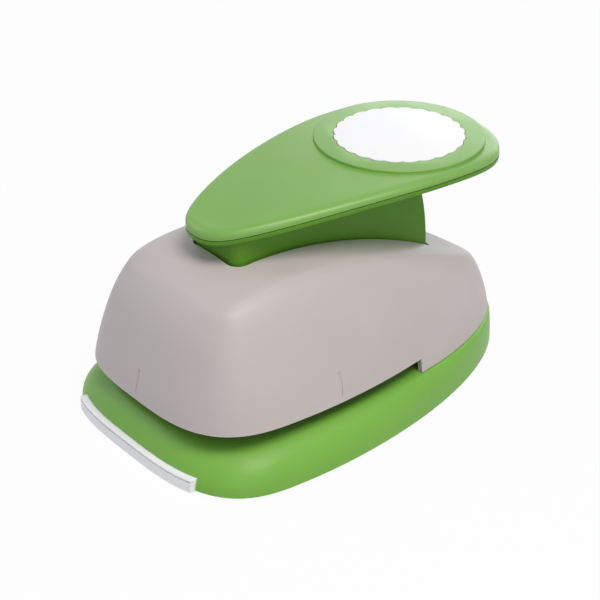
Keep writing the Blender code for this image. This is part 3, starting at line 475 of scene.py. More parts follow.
def rubbed_edge_group():
    """A mask of the outer edges that hands and boxes rub."""
    tree, given, result = group("rubbed_edge", [("Width", rubbed_width)], ["Mask"])
    rounded = tree.nodes.new("ShaderNodeBevel")
    rounded.samples = bevel_samples
    tree.links.new(given.outputs["Width"], rounded.inputs["Radius"])
    plain = tree.nodes.new("ShaderNodeNewGeometry").outputs["Normal"]
    turned_by = tree.nodes.new("ShaderNodeVectorMath")
    turned_by.operation = "DOT_PRODUCT"
    tree.links.new(rounded.outputs["Normal"], turned_by.inputs[0])
    tree.links.new(plain, turned_by.inputs[1])
    place = tree.nodes.new("ShaderNodeTexCoord").outputs["Object"]
    broken = spread(tree, noise(tree, place, rub_marks, 4.0, 0.7), *noise_patches, 0.3, 1.0)
    edge = spread(tree, turned_by.outputs["Value"], 1.0, rubbed_turn, 0.0, 1.0)
    tree.links.new(maths(tree, "MULTIPLY", edge, broken), result.inputs["Mask"])
    return tree


moulded_grain = moulded_grain_group()
rubbed_edge = rubbed_edge_group()


def placed(tree, shared, **values):
    """A shared group in a material, with this material's own values."""
    node = tree.nodes.new("ShaderNodeGroup")
    node.node_tree = shared
    for label, value in values.items():
        node.inputs[label.replace("_", " ").title()].default_value = value
    return node


def blended(tree, share, first, second):
    """One colour mixed into another, each a colour or a socket."""
    node = tree.nodes.new("ShaderNodeMix")
    node.data_type = "RGBA"
    for socket, value in ((node.inputs[0], share), (node.inputs[6], first), (node.inputs[7], second)):
        if isinstance(value, bpy.types.NodeSocket):
            tree.links.new(value, socket)
        else:
            socket.default_value = value
    return node.outputs[2]


def new_finish(name):
    """A material, its node tree and its shader."""
    finish = bpy.data.materials.new(name)
    finish.use_nodes = True
    return finish, finish.node_tree, finish.node_tree.nodes["Principled BSDF"]


def roughen(tree, shader, height, strength, depth):
    """Lets a height texture stand for the surface's fine relief."""
    bump = tree.nodes.new("ShaderNodeBump")
    bump.inputs["Strength"].default_value = strength
    bump.inputs["Distance"].default_value = depth
    tree.links.new(height, bump.inputs["Height"])
    tree.links.new(bump.outputs["Normal"], shader.inputs["Normal"])


def moulding(name, colour, deep, rubbed, roughness, grain_scale=spark_grain, shine=0.5):
    """Moulded plastic of one colour, with a deeper tone of it in places and a paler one on rubbed edges."""
    finish, tree, shader = new_finish(name)
    grain = placed(tree, moulded_grain, grain_scale=grain_scale)
    edge = placed(tree, rubbed_edge)
    tone = spread(tree, grain.outputs["Tone"], *noise_middle, 0.0, 1.0)
    body = blended(tree, tone, srgb(*deep), srgb(*colour))
    wear = maths(tree, "MULTIPLY", edge.outputs["Mask"], rubbed_most)
    tree.links.new(blended(tree, wear, body, srgb(*rubbed)), shader.inputs["Base Color"])
    shine_range = (roughness - gloss_swing, roughness + gloss_swing)
    gloss = spread(tree, grain.outputs["Gloss"], *noise_middle, *shine_range)
    tree.links.new(gloss, shader.inputs["Roughness"])
    roughen(tree, shader, grain.outputs["Height"], spark_strength, spark_depth)
    shader.inputs["IOR"].default_value = plastic_ior
    shader.inputs["Specular IOR Level"].default_value = shine
    return finish


def dress(piece, finish, body, slot, *nodes):
    """Puts a finish on a piece, sets it on its body and lets it stand for its CAD nodes."""
    piece.data.materials.clear()
    piece.data.materials.append(finish)
    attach(piece, body)
    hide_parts(*nodes)


base_green = moulding("base_green", (122, 180, 70), (114, 172, 64), (154, 204, 104), 0.42, shine=0.35)
dress(base_shell, base_green, "housing", "base_green", "base_shell")

# Upper casing. One grey moulding with a thin wall, arched from front to rear, that stands on the deck.
# It is cut away over the card slot at the front and along both sides, and open on top for the lever's skirt.
# It is held by three screws from below and carries the guide frame on two bosses at the front.
cover_width = 0.1
cover_front_inset = 0.002
cover_rear_inset = 0.001
cover_widest_reach = 0.0475
cover_front_power = 3.2
cover_rear_power = 1.85
mouth_height = 0.0225
crest_height = 0.0727
crest_reach = 0.0521
front_drop = 0.0135
rear_drop = 0.0444
crown_drop = 0.0115
shoulder_depth = 0.0232
cover_height_shares = (0.0, 0.2, 0.4, 0.6, 0.75, 0.87, 0.95, 1.0)
cover_inset_shares = (0.0, 0.075, 0.195, 0.355, 0.51, 0.675, 0.82, 1.0)
pivot_reach = 0.0387
pivot_height = 0.053
skirt_width = 0.028
skirt_front_reach = 0.0396
skirt_corner = 0.0045
skirt_radius = 0.0916
slot_clearance = 0.0012
slot_low_reach = 0.1
mark_width = 0.0022
mark_foot_width = 0.0006
mark_depth = 0.0006
mark_side_reach = 0.0625
mark_low = 0.0245
mark_tall = 0.0098
frame_boss_lift = 0.0036
corner_steps = 16
edge_steps = 4
profile_steps = 4
settling_rounds = 3


def curve_through(knots):
    """A smooth line through these points, with its two end directions kept."""
    first = tuple(2 * a - b for a, b in zip(knots[0], knots[1]))
    last = tuple(2 * a - b for a, b in zip(knots[-1], knots[-2]))
    return spline([first, *knots, last], profile_steps)


def spline(knots, fine):
    """The line through all knots but the first and the last, which only set its end directions."""

    def between(p, q, r, s, t):
        """One coordinate at a share t of the way from q to r."""
        return (2 * q + (r - p) * t + (2 * p - 5 * q + 4 * r - s) * t**2 + (3 * q - p - 3 * r + s) * t**3) / 2

    line = []
    for a, b, c, d in zip(knots, knots[1:], knots[2:], knots[3:]):
        for step in range(fine):
            line.append(tuple(between(*values, step / fine) for values in zip(a, b, c, d)))
    line.append(tuple(knots[-2]))
    return line


def side_outline(name, outline, low_x, high_x):
    """A flat outline in Y and Z, given thickness along X."""
    shape = bmesh.new()
    near = [shape.verts.new((low_x, y, z)) for y, z in outline]
    far = [shape.verts.new((high_x, y, z)) for y, z in outline]
    bridge(shape, near, far)
    shape.faces.new(near[::-1])
    shape.faces.new(far)
    return from_bmesh(name, shape)


def arc(centre, radius, start, stop, steps):
    """Points along an arc, both ends included; the angles are in radians from the first axis."""
    angles = [start + (stop - start) * step / steps for step in range(steps + 1)]
    return [(centre[0] + radius * math.cos(a), centre[1] + radius * math.sin(a)) for a in angles]


def front_corner(side, half, front, radius):
    """Arc round one front corner of an outline in plan, from its side to its front edge."""
    line = arc((half - radius, front + radius), radius, 0, -math.pi / 2, corner_steps)
    return [(side * x, y) for x, y in line]


def prism(name, outline, low, high, edge=0.0):
    """A level outline between two heights, with its upper edge rounded by this much."""
    shape = bmesh.new()
    rings = [add_ring(shape, [(x, y, low) for x, y in outline])]
    if edge:
        for step in range(edge_steps + 1):
            angle = math.pi / 2 * step / edge_steps
            moved = drawn_in(outline, [edge * (1 - math.cos(angle))] * len(outline))
            rings.append(add_ring(shape, [(x, y, high - edge * (1 - math.sin(angle))) for x, y in moved]))
    else:
        rings.append(add_ring(shape, [(x, y, high) for x, y in outline]))
    bridge_all(shape, rings)
    shape.faces.new(rings[0][::-1])
    shape.faces.new(rings[-1])
    return from_bmesh(name, shape)


cover_front_y = at_reach(cover_front_inset)
cover_rear_y = rear_y - cover_rear_inset
crest_y = at_reach(crest_reach)
pivot_y = at_reach(pivot_reach)
cover_widest_y = at_reach(cover_widest_reach)
cover_loop = whole(
    egg_half(cover_front_y, cover_widest_y, cover_rear_y, cover_width, cover_front_power, cover_rear_power)
)


def roof_at(x, y):
    """Height of the top of the cover, arched from front to rear and a little from side to side."""
    if y < crest_y:
        arch = front_drop * ((crest_y - y) / (crest_y - cover_front_y)) ** 2
    else:
        arch = rear_drop * ((y - crest_y) / (cover_rear_y - crest_y)) ** 2
    return crest_height - arch - crown_drop * (2 * x / cover_width) ** 2


def seam_at(y):
    """Height of the cover's lower edge where it stands on the deck."""
    return deck_at(y) + seat_gap


full_height = crest_height - deck_height
depths = [shoulder_depth] * len(cover_loop)
for _ in range(settling_rounds):
    inner = drawn_in(cover_loop, depths)
    heights = [roof_at(*place) - seam_at(y) for place, (_, y) in zip(inner, cover_loop)]
    depths = [shoulder_depth * height / full_height for height in heights]
shape = bmesh.new()
rings = [add_ring(shape, [(x, y, seam_at(y) - wall) for x, y in cover_loop])]
shoulder = drawn_in(cover_loop, depths)
flank = list(zip(cover_height_shares, cover_inset_shares))
for height_share, inset_share in curve_through(flank):
    moved = drawn_in(cover_loop, [depth * inset_share for depth in depths])
    ring = []
    for (x, y), (sx, sy), (_, loop_y) in zip(moved, shoulder, cover_loop):
        low = seam_at(loop_y)
        ring.append((x, y, low + (roof_at(sx, sy) - low) * height_share))
    rings.append(add_ring(shape, ring))
bridge_all(shape, rings)
close_up(shape, rings[-1], die_y, roof_at)
cover_skin = BVHTree.FromBMesh(shape)
cover_shell = from_bmesh("cover_casing", shape)
thicken(cover_shell, wall)

cover_joined = []
cover_taken = []
frame_screw_names = ("frame_screw_left", "frame_screw_right")
for name in frame_screw_names:
    high, middle = place_of(name)[1:]
    boss_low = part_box("guide_plate")[1].z + frame_boss_lift
    cover_joined.append(column("frame_boss", cover_skin, middle.x, middle.y, boss_low, boss_radius))
    cover_taken.append(upright("frame_hole", middle.x, middle.y, 0, high.z + seat_gap, screw_hole))
for name in cover_screw_names:
    high, middle = place_of(name)[1:]
    cover_joined.append(
        column("cover_boss", cover_skin, middle.x, middle.y, seam_at(middle.y - boss_radius), boss_radius)
    )
    cover_taken.append(upright("boss_hole", middle.x, middle.y, 0, high.z + seat_gap, screw_hole))
slot_half = skirt_width / 2 + slot_clearance
slot_rear_y = pivot_y + skirt_radius + slot_clearance
skirt_front_y = at_reach(skirt_front_reach)
slot_front_y = skirt_front_y - slot_clearance
slot_corner = skirt_corner + slot_clearance
slot_outline = [(-slot_half, slot_rear_y)]
slot_outline += front_corner(-1, slot_half, slot_front_y, slot_corner)
slot_outline += reversed(front_corner(1, slot_half, slot_front_y, slot_corner))
slot_outline += [(slot_half, slot_rear_y)]
cover_taken.append(prism("lever_slot", slot_outline, pivot_height, crest_height + overrun))
low_slot = (-slot_half, at_reach(slot_low_reach), mouth_height)
cover_taken.append(block("low_lever_slot", low_slot, (slot_half, slot_rear_y, pivot_height + overrun)))
mouth_outline = [
    (front_y - overrun, 0),
    (rear_y + overrun, 0),
    (rear_y + overrun, seam_at(rear_y + overrun)),
    (throat_y, seam_at(throat_y)),
    (throat_y, mouth_height),
    (front_y - overrun, mouth_height),
]
cover_taken.append(side_outline("card_mouth", mouth_outline, -base_width, base_width))


def groove(aim):
    """An upright tapered groove let into the cover's flank, as seen from outside along this direction."""
    across = Vector((aim.y, aim.x, 0))
    shape = bmesh.new()
    for z, width in ((mark_low, mark_foot_width), (mark_low + mark_tall, mark_width)):
        start = Vector((0, at_reach(mark_side_reach), z)) - aim * base_length
        hit = cover_skin.ray_cast(start, aim)[0]
        shape.verts.new(hit + aim * mark_depth)
        for side in (-1, 1):
            shape.verts.new(hit + across * side * width / 2)
            shape.verts.new(hit - aim * overrun + across * side * width / 2)
    bmesh.ops.convex_hull(shape, input=shape.verts)
    return from_bmesh("mark", shape)


for aim in ((0, 1, 0), (-1, 0, 0), (1, 0, 0)):
    cover_taken.append(groove(Vector(aim)))
shaped(cover_shell, cover_joined, cover_taken)
cover_grey = moulding("cover_grey", (196, 187, 185), (190, 181, 179), (214, 208, 206), 0.48)
dress(cover_shell, cover_grey, "housing", "cover_grey", "cover_shell")

# Lever, lower moulding. A thin rim under the whole blade with a hollow skirt that goes down into the cover.
# The skirt turns on the pivot pin at its front, and its rear wall is an arc about that pin.
lever_front_reach = 0.0312
lever_length = 0.1339
lever_width = 0.0736
lever_station_shares = (0.04, 0.2, 0.42, 0.65, 0.85, 0.965)
lever_width_shares = (0.334, 0.639, 0.875, 1.0, 0.92, 0.535)
lever_arch_height = 0.0887
lever_arch_reach = 0.1207
lever_arch_radius = 0.408
rim_thickness = 0.0019
rim_round = 0.0007
skirt_low = 0.048
skirt_front_low = 0.0605
skirt_waist = 0.0495
skirt_waist_reaches = (0.0525, 0.0685)
pivot_boss = 0.0068
pivot_radius = 0.0025
roller_pin_radius = 0.002
lever_steps = 80
lever_fineness = 40
rim_steps = 6
skirt_steps = 40
roof_steps = 24
skirt_join = 1 / 2
hollow_join = 1 / 4
ear_stop = math.tau * 5 / 6
angle_rounds = 4
arch_y = at_reach(lever_arch_reach)
tip_y = at_reach(lever_front_reach)
pivot = (pivot_y, pivot_height)


def arch_at(y):
    """Height of the lever's lower edge, which arches from front to rear."""
    return lever_arch_height - (y - arch_y) ** 2 / (2 * lever_arch_radius)


def lever_half():
    """The +X half of the lever's outline, a smooth curve through its stations."""
    stations = [
        (width * lever_width / 2, tip_y + share * lever_length)
        for share, width in zip(lever_station_shares, lever_width_shares)
    ]
    first = (0.0, tip_y)
    last = (0.0, tip_y + lever_length)
    before = (-stations[0][0], stations[0][1])
    after = (-stations[-1][0], stations[-1][1])
    return evenly(spline([before, first, *stations, last, after], lever_fineness), lever_steps)


lever_loop = whole(lever_half())
shape = bmesh.new()
rings = []
for step in range(rim_steps + 1):
    angle = math.pi / 2 * (1 - step / rim_steps)
    inset = [rim_round * (1 - math.cos(angle))] * len(lever_loop)
    lift = rim_round * (1 - math.sin(angle))
    rings.append(level_ring(shape, drawn_in(lever_loop, inset), lambda x, y: arch_at(y) + lift))
rings.append(level_ring(shape, lever_loop, lambda x, y: arch_at(y) + rim_thickness))
bridge_all(shape, rings)
close_up(shape, rings[0], arch_y, lambda x, y: arch_at(y))
close_up(shape, rings[-1], arch_y, lambda x, y: arch_at(y) + rim_thickness)
lever_body = from_bmesh("lever_frame", shape)


def skirt_top(y, share):
    """A height inside the rim, this share of its thickness above its underside."""
    return arch_at(y) + rim_thickness * share


def rear_angle(radius, share):
    """Angle about the pivot at which an arc of this radius comes up to that height."""
    angle = math.asin((lever_arch_height - pivot_height) / radius)
    for _ in range(angle_rounds):
        y = pivot_y + radius * math.cos(angle)
        angle = math.asin((skirt_top(y, share) - pivot_height) / radius)
    return angle


def skirt_roof(front, radius, share):
    """Points along the underside of the rim, from the skirt's rear wall to its front wall."""
    rear = pivot_y + radius * math.cos(rear_angle(radius, share))
    places = [rear + (front - rear) * step / roof_steps for step in range(1, roof_steps + 1)]
    return [(y, skirt_top(y, share)) for y in places]


ear_start = math.acos((skirt_front_y - pivot_y) / pivot_boss)
low_angle = math.asin((skirt_low - pivot_height) / skirt_radius)
skirt_outline = arc(pivot, pivot_boss, ear_start, ear_stop, skirt_steps)
skirt_outline += [(at_reach(reach), skirt_waist) for reach in skirt_waist_reaches]
skirt_outline += arc(pivot, skirt_radius, low_angle, rear_angle(skirt_radius, skirt_join), skirt_steps)
skirt_outline += skirt_roof(skirt_front_y, skirt_radius, skirt_join)
inner_radius = skirt_radius - wall
inner_front = skirt_front_y + wall
skirt_inner = skirt_width / 2 - wall
hollow_low = pivot_height - 2 * pivot_boss
hollow_front = pivot_y - 2 * pivot_boss
inner_low_angle = math.asin((hollow_low - pivot_height) / inner_radius)
hollow_outline = [(inner_front, skirt_front_low), (hollow_front, skirt_front_low), (hollow_front, hollow_low)]
hollow_rear = rear_angle(inner_radius, hollow_join)
hollow_outline += arc(pivot, inner_radius, inner_low_angle, hollow_rear, skirt_steps)
hollow_outline += skirt_roof(inner_front, inner_radius, hollow_join)
roller_place = place_of("press_roller")[2]
lever_taken = [
    side_outline("skirt_hollow", hollow_outline, -skirt_inner, skirt_inner),
    rod("roller_hole", roller_place, roller_pin_radius + seat_gap, base_width, "X"),
    rod("pin_hole", (0, *pivot), pivot_radius + seat_gap, base_width, "X"),
]
lever_screw_names = ("lever_screw_front", "lever_screw_rear")
for name in lever_screw_names:
    high, middle = place_of(name)[1:]
    lever_taken.append(upright("blade_hole", 0, middle.y, pivot_height, high.z + seat_gap, screw_hole))
corner_low = pivot_height + pivot_boss + slot_clearance
corner_near = skirt_front_y - slot_clearance
corners = []
for side in (1, -1):
    line = front_corner(side, skirt_width / 2, skirt_front_y, skirt_corner)
    far = side * (skirt_width / 2 + slot_clearance)
    around = [(far, corner_near), (far, line[0][1]), *line, (line[-1][0], corner_near)]
    corners.append(prism("skirt_corner", around, corner_low, lever_arch_height))
skirt = side_outline("skirt", skirt_outline, -skirt_width / 2, skirt_width / 2)
shaped(lever_body, [shaped(skirt, [], corners)], lever_taken)
# The lower moulding is the same plastic as the blade. Its green is darker than the blade's as painted shade,
# for its rim and skirt under the blade.
skirt_green = moulding("skirt_green", (94, 146, 40), (86, 138, 36), (126, 178, 74), 0.38, shine=0.2)
dress(lever_body, skirt_green, "lever", "skirt_green", "lever_body")

# Lever, upper moulding. A curved blade with a rounded edge, screwed to the rim from below.
# At its wide end it carries a flat round pad to press on, with a recess for the white shape.
blade_gap = 0.0004
blade_height = 0.0026
blade_crown = 0.0006
blade_wall = 0.0014
blade_height_shares = (0.0, 0.3, 0.62, 0.85, 0.96, 1.0)
blade_inset_shares = (0.0, 0.0, 0.12, 0.36, 0.68, 1.0)
blade_edge = 0.0045
pad_reach = 0.1275
pad_radius = 0.033
pad_thickness = 0.0032
pad_round = 0.0004
label_thickness = 0.0012
shape_radius = 0.0254
scallop_count = 24
scallop_depth = 0.0009
scallop_steps = 12
pad_steps = 160
blade_floor = rim_thickness + blade_gap
pad_y = at_reach(pad_reach)


def blade_at(x, y):
    """Height of the lever's upper face, a little crowned from side to side."""
    crown = blade_crown * (1 - (2 * x / lever_width) ** 2)
    return arch_at(y) + blade_floor + blade_height + crown


def scalloped(radius, centre_y):
    """The scalloped circle, as arcs between cusps that lie a little further in."""
    cusp = radius - scallop_depth
    half_pitch = math.pi / scallop_count
    half_chord = cusp * math.sin(half_pitch)
    bulge = radius - cusp * math.cos(half_pitch)
    arc_radius = (half_chord**2 + bulge**2) / (2 * bulge)
    arc_centre = radius - arc_radius
    across = math.asin(half_chord / arc_radius)
    outline = []
    for scallop in range(scallop_count):
        turn = 2 * half_pitch * scallop
        for step in range(scallop_steps):
            angle = across * (2 * step / scallop_steps - 1)
            u = arc_centre + arc_radius * math.cos(angle)
            v = arc_radius * math.sin(angle)
            x = u * math.sin(turn) + v * math.cos(turn)
            y = v * math.sin(turn) - u * math.cos(turn)
            outline.append((x, centre_y + y))
    return outline


def circle(radius, centre_y):
    """A level circle about X = 0."""
    angles = [math.tau * i / pad_steps for i in range(pad_steps)]
    return [(radius * math.cos(a), centre_y + radius * math.sin(a)) for a in angles]


shape = bmesh.new()
rings = []
top_loop = drawn_in(lever_loop, [blade_edge] * len(lever_loop))
blade_side = list(zip(blade_height_shares, blade_inset_shares))
for height_share, inset_share in curve_through(blade_side):
    ring = []
    inset = max(0.0, inset_share)
    moved = drawn_in(lever_loop, [blade_edge * inset] * len(lever_loop))
    for (x, y), (tx, ty) in zip(moved, top_loop):
        low = arch_at(y) + blade_floor
        ring.append((x, y, low + (blade_at(tx, ty) - low) * height_share))
    rings.append(add_ring(shape, ring))
bridge_all(shape, rings)
close_up(shape, rings[-1], arch_y, blade_at)
blade_skin = BVHTree.FromBMesh(shape)
lever_top = from_bmesh("lever_blade", shape)
thicken(lever_top, blade_wall)
pad_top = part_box("lever_top")[1].z - box_margin
label_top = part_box("shape_label")[1].z - box_margin
label_bottom = label_top - label_thickness
lever_joined = [prism("pad", circle(pad_radius, pad_y), pad_top - pad_thickness, pad_top, pad_round)]
recess_outline = scalloped(shape_radius + seat_gap, pad_y)
blade_taken = [prism("label_recess", recess_outline, label_bottom - seat_gap, label_top + overrun)]
for name in lever_screw_names:
    high, middle = place_of(name)[1:]
    boss_low = arch_at(middle.y) + blade_floor + seat_gap
    lever_joined.append(column("blade_boss", blade_skin, 0, middle.y, boss_low, boss_radius))
    blade_taken.append(upright("blade_hole", 0, middle.y, pivot_height, high.z + seat_gap, screw_hole))
shaped(lever_top, lever_joined, blade_taken, one_by_one=True)
lever_green = moulding("lever_green", (122, 171, 78), (116, 165, 74), (146, 196, 92), 0.36)
dress(lever_top, lever_green, "lever", "lever_green", "lever_top")

# White shape. A flat piece of white plastic with the outline that the punch cuts.
# It is pressed into the pad's recess, stands a little proud, and its upper edge is rounded.
label_edge = 0.00015
shape_label = prism("white_shape", scalloped(shape_radius, pad_y), label_bottom, label_top, label_edge)
soften(shape_label.data)
scene.collection.objects.link(shape_label)
label_white = moulding("label_white", (248, 248, 248), (244, 244, 244), (250, 250, 250), 0.5)
dress(shape_label, label_white, "lever", "label_white", "shape_label")

# Drawer. A shallow white moulding that slides on rails under the bed and catches the cut shapes.
# Its lip closes the opening in the base's front and follows the base's outline.
tray_wall = 0.0016
tray_rear_reach = 0.0975
tray_flange = 0.003
tray_flange_thickness = 0.0014
tray_lip_reach = 0.0155
tray_hollow_reach = 0.0085
tray_edge = 0.0003
lip_line_depth = 0.0014
lip_line_width = 0.0005
lip_line_drop = 0.0007
lip_steps = 48
lip_half = tray_half_opening - seat_gap
tray_half_body = tray_half_opening - seat_gap - tray_flange
tray_proud = front_y - tray_low.y - box_margin
base_front = sorted((x, y) for x, y in base_loop if y < pivot_y)


def front_edge(x):
    """Y of the drawer's front face, a little in front of the base's own outline."""
    for (ax, ay), (bx, by) in zip(base_front, base_front[1:]):
        if ax <= x <= bx:
            return ay + (by - ay) * (x - ax) / (bx - ax) - tray_proud


lip_places = [lip_half * (2 * step / lip_steps - 1) for step in range(lip_steps + 1)]
front_line = [(x, front_edge(x)) for x in lip_places]
lip_rear = at_reach(tray_lip_reach)
tray_rear = at_reach(tray_rear_reach)
left_side = [(-tray_half_body, tray_rear), (-tray_half_body, lip_rear), (-lip_half, lip_rear)]
right_side = [(-x, y) for x, y in reversed(left_side)]
bottom_tray = prism("drawer", left_side + front_line + right_side, foot_stand, tray_top, tray_edge)
tray_flange_block = block(
    "tray_flange",
    (seat_gap - lip_half, lip_rear - tray_flange, tray_top - tray_flange_thickness),
    (lip_half - seat_gap, tray_rear - tray_wall / 2, tray_top - seat_gap),
)
tray_hollow = block(
    "tray_hollow",
    (tray_wall - tray_half_body, at_reach(tray_hollow_reach), foot_stand + tray_wall),
    (tray_half_body - tray_wall, tray_rear - tray_wall, tray_top + overrun),
)
lip_line_top = tray_top - lip_line_drop
lip_line = prism(
    "lip_line",
    [(x, y - overrun) for x, y in front_line] + [(x, y + lip_line_depth) for x, y in reversed(front_line)],
    lip_line_top - lip_line_width,
    lip_line_top,
)
shaped(bottom_tray, [tray_flange_block], [tray_hollow, lip_line])
tray_white = moulding("tray_white", (250, 250, 250), (246, 246, 247), (253, 253, 253), 0.4)
dress(bottom_tray, tray_white, "tray", "tray_white", "bottom_tray")

# Feet. Four discs of soft grey rubber, each pressed up into a pocket of a column under the base.
# They stand out of it a little, so that the punch doesn't slide or scratch the table.
rubber_grain = 1800.0


def refinish(finish, *nodes):
    """Gives CAD nodes that stay as they are a finish of this scene."""
    for name in nodes:
        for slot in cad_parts[name].material_slots:
            slot.material = finish


rubber_grey = moulding("rubber_grey", (70, 70, 72), (60, 60, 62), (96, 96, 96), 0.8, rubber_grain)
refinish(rubber_grey, *foot_names)

# Guide frame and punch carrier. Two black mouldings of glass-filled plastic inside the cover.
# The frame is screwed up into the cover with the guide plate and holds the pivot pin and the two posts.
# The carrier slides on the posts, with the punch screwed under it, and takes the lever's push.
frame_grain = 2400.0
frame_black = moulding("frame_black", (44, 44, 46), (36, 36, 38), (80, 80, 82), 0.55, frame_grain)
refinish(frame_black, "guide_frame", "punch_carrier")

# Plates. The die plate, the guide plate and the spacer between them are stamped and ground steel.
# Two screws through all three clamp them together, and the die plate lies in the base's bed.
steel_depth = 0.000005
steel_strength = 0.3
steel_swing = 0.06
dull_marks = 160.0
dull_share = 0.86
plate_lines = (6000.0, 200.0, 6000.0)


def steel(name, colour, roughness, lines):
    """Steel with fine lines from grinding or drawing, their scale given by axis, and a few duller places."""
    finish, tree, shader = new_finish(name)
    shader.inputs["Metallic"].default_value = 1.0
    place = tree.nodes.new("ShaderNodeTexCoord").outputs["Object"]
    stretch = tree.nodes.new("ShaderNodeMapping")
    stretch.inputs["Scale"].default_value = lines
    tree.links.new(place, stretch.inputs["Vector"])
    drawn = noise(tree, stretch.outputs["Vector"], 1.0, 3.0, 0.6)
    dull = spread(tree, noise(tree, place, dull_marks, 4.0, 0.6), *noise_patches, 0.0, 1.0)
    bright = srgb(*colour)
    darker = tuple(dull_share * value for value in bright[:3]) + (1.0,)
    tree.links.new(blended(tree, dull, bright, darker), shader.inputs["Base Color"])
    shine_range = (roughness - steel_swing, roughness + steel_swing)
    tree.links.new(spread(tree, drawn, *noise_middle, *shine_range), shader.inputs["Roughness"])
    roughen(tree, shader, drawn, steel_strength, steel_depth)
    return finish


plate_steel = steel("plate_steel", (190, 190, 194), 0.3, plate_lines)
refinish(plate_steel, "die_plate", "guide_plate", "throat_spacer")

# Punch. A block of hardened tool steel with the scalloped outline, ground along the way that it moves.
# Two screws hold it under the carrier, and the guide plate leads it down into the die plate.
punch_lines = (6000.0, 6000.0, 300.0)
punch_steel = steel("punch_steel", (170, 170, 174), 0.28, punch_lines)
refinish(punch_steel, "punch_head")

# Posts, pivot pin, roller. Bright drawn steel, cut to length.
# The posts stand in the guide frame, the pivot pin goes through its cheeks and is kept by a spring clip,
# and the roller turns on a pin in the lever's skirt.
pin_lines = (4000.0, 4000.0, 4000.0)
pin_steel = steel("pin_steel", (204, 204, 206), 0.24, pin_lines)
refinish(pin_steel, "guide_post_left", "guide_post_right", "pivot_pin", "pivot_clip")
refinish(pin_steel, "press_roller", "roller_pin")

# Return springs. Coils of drawn steel wire round the posts, with half a flat turn at each end.
# They stand on the guide frame and push the carrier up, so they get shorter as the punch goes down.
spring_wire = 0.001
spring_turns = 6
spring_flat = 0.5
turn_points = 32
wire_facets = 12
wire_sharp_from = 40


def coil(name, low, high):
    """A wound spring that fills the box between two corners."""
    middle = (low + high) / 2
    radius = (high.x - low.x - spring_wire) / 2
    rise_by = high.z - low.z - spring_wire
    shape = bmesh.new()
    rings = []
    for step in range(spring_turns * turn_points + 1):
        turn = step / turn_points
        share = min(max((turn - spring_flat) / (spring_turns - 2 * spring_flat), 0.0), 1.0)
        outward = Vector((math.cos(math.tau * turn), math.sin(math.tau * turn), 0))
        centre = Vector((middle.x, middle.y, low.z + spring_wire / 2 + rise_by * share)) + outward * radius
        around = [math.tau * i / wire_facets for i in range(wire_facets)]
        wire = [outward * math.cos(a) + Vector((0, 0, math.sin(a))) for a in around]
        rings.append(add_ring(shape, [centre + point * spring_wire / 2 for point in wire]))
    bridge_all(shape, rings)
    shape.faces.new(rings[0][::-1])
    shape.faces.new(rings[-1])
    piece = from_bmesh(name, shape)
    soften(piece.data, wire_sharp_from)
    scene.collection.objects.link(piece)
    return piece


for side in ("left", "right"):
    low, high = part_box("return_spring_" + side)
    spring = coil("coil_" + side, low, high)
    dress(spring, pin_steel, "housing", "pin_steel", "return_spring_" + side)
    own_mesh(spring)

# Screws. Thread-forming screws of zinc-plated steel.
# They hold the cover, the guide frame, the plates, the punch and the lever's two mouldings.
screw_lines = (5000.0, 5000.0, 5000.0)
screw_steel = steel("screw_steel", (186, 188, 192), 0.34, screw_lines)
refinish(screw_steel, *cover_screw_names, *lever_screw_names, *throat_screw_names, *frame_screw_names)
refinish(screw_steel, "punch_screw_left", "punch_screw_right")

# Floor and background. A plain pale floor that runs out of sight, under an even white studio.
# Seen by the camera or in a reflection both are nearly white. The light they give is set on its own.
floor_size = 6.0
floor_paint = (226, 226, 226)
floor_roughness = 0.8
floor_shine = 0.2
floor_glow_share = 0.95
room_light = 0.26
room_colour = (0.9, 0.95, 1.1, 1.0)
white = (1.0, 1.0, 1.0, 1.0)
floor_shape = bmesh.new()
bmesh.ops.create_grid(floor_shape, x_segments=4, y_segments=4, size=floor_size / 2)
floor = from_bmesh("floor", floor_shape)
scene.collection.objects.link(floor)


def seen_directly(tree):
    """A mask of the rays that see the studio itself, from the camera, in a reflection or through glass."""
    rays = tree.nodes.new("ShaderNodeLightPath")
    mirrored = maths(tree, "MAXIMUM", rays.outputs["Is Glossy Ray"], rays.outputs["Is Transmission Ray"])
    return maths(tree, "MAXIMUM", rays.outputs["Is Camera Ray"], mirrored)


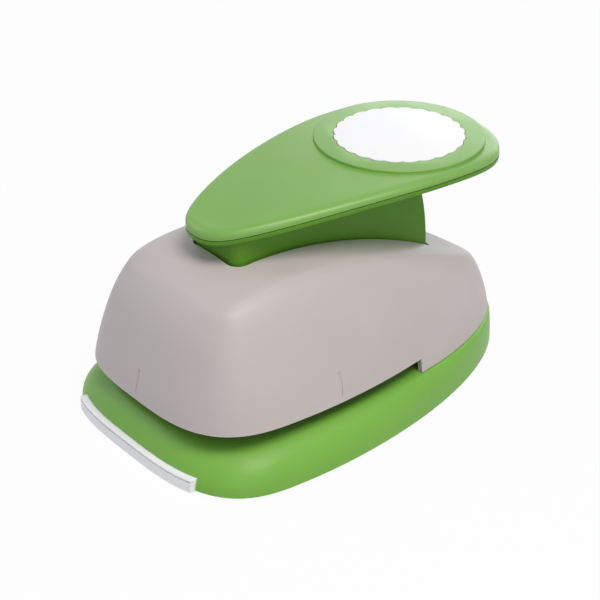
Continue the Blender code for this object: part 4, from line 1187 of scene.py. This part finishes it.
floor_white, tree, paint = new_finish("floor_white")
paint.inputs["Base Color"].default_value = srgb(*floor_paint)
paint.inputs["Roughness"].default_value = floor_roughness
paint.inputs["Specular IOR Level"].default_value = floor_shine
glow = tree.nodes.new("ShaderNodeEmission")
lit = tree.nodes.new("ShaderNodeMixShader")
tree.links.new(maths(tree, "MULTIPLY", seen_directly(tree), floor_glow_share), lit.inputs[0])
tree.links.new(paint.outputs["BSDF"], lit.inputs[1])
tree.links.new(glow.outputs["Emission"], lit.inputs[2])
tree.links.new(lit.outputs["Shader"], tree.nodes["Material Output"].inputs["Surface"])
floor.data.materials.append(floor_white)

studio = bpy.data.worlds.new("studio")
scene.world = studio
studio.use_nodes = True
tree = studio.node_tree
room = tree.nodes["Background"]
direct = seen_directly(tree)
tree.links.new(spread(tree, direct, 0.0, 1.0, room_light, 1.0), room.inputs["Strength"])
tree.links.new(blended(tree, direct, room_colour, white), room.inputs["Color"])

# Lamps. Four large square soft ones that face the middle of the piece.
# Each line has a lamp's name, place, size, power in watts and colour.
lamp_target = Vector((0, 0, 0.045))
lamps = (
    ("key_light", (0.55, -0.05, 1.15), 0.6, 10.0, (1.0, 0.97, 0.92)),
    ("fill_light", (1.0, -0.4, 0.55), 0.9, 2.2, (1.0, 0.97, 0.93)),
    ("left_light", (-0.9, -0.65, 0.6), 0.8, 2.7, (0.9, 0.95, 1.0)),
    ("back_light", (-0.7, 1.0, 0.32), 0.8, 4.0, (0.95, 0.98, 1.0)),
)
for name, place, size, power, colour in lamps:
    lamp = bpy.data.lights.new(name, "AREA")
    lamp.size = size
    lamp.energy = power
    lamp.color = colour
    stand = bpy.data.objects.new(name, lamp)
    stand.location = place
    stand.rotation_euler = (lamp_target - Vector(place)).to_track_quat("-Z", "Y").to_euler()
    scene.collection.objects.link(stand)

# Camera. It stands where the photograph was taken from, with the photograph's angle of view.
# The place is in metres, and the tilt and turn are in degrees.
focal_length = 128.2
film_width = 36.0
camera_place = (0.5711, -0.44225, 0.4335)
camera_tilt = 61.2
camera_turn = 52.6
lens = bpy.data.cameras.new("camera")
lens.lens = focal_length
lens.sensor_width = film_width
camera = bpy.data.objects.new("camera", lens)
camera.location = camera_place
camera.rotation_euler = (math.radians(camera_tilt), 0.0, math.radians(camera_turn))
scene.collection.objects.link(camera)
scene.camera = camera
scene.view_settings.view_transform = "Standard"
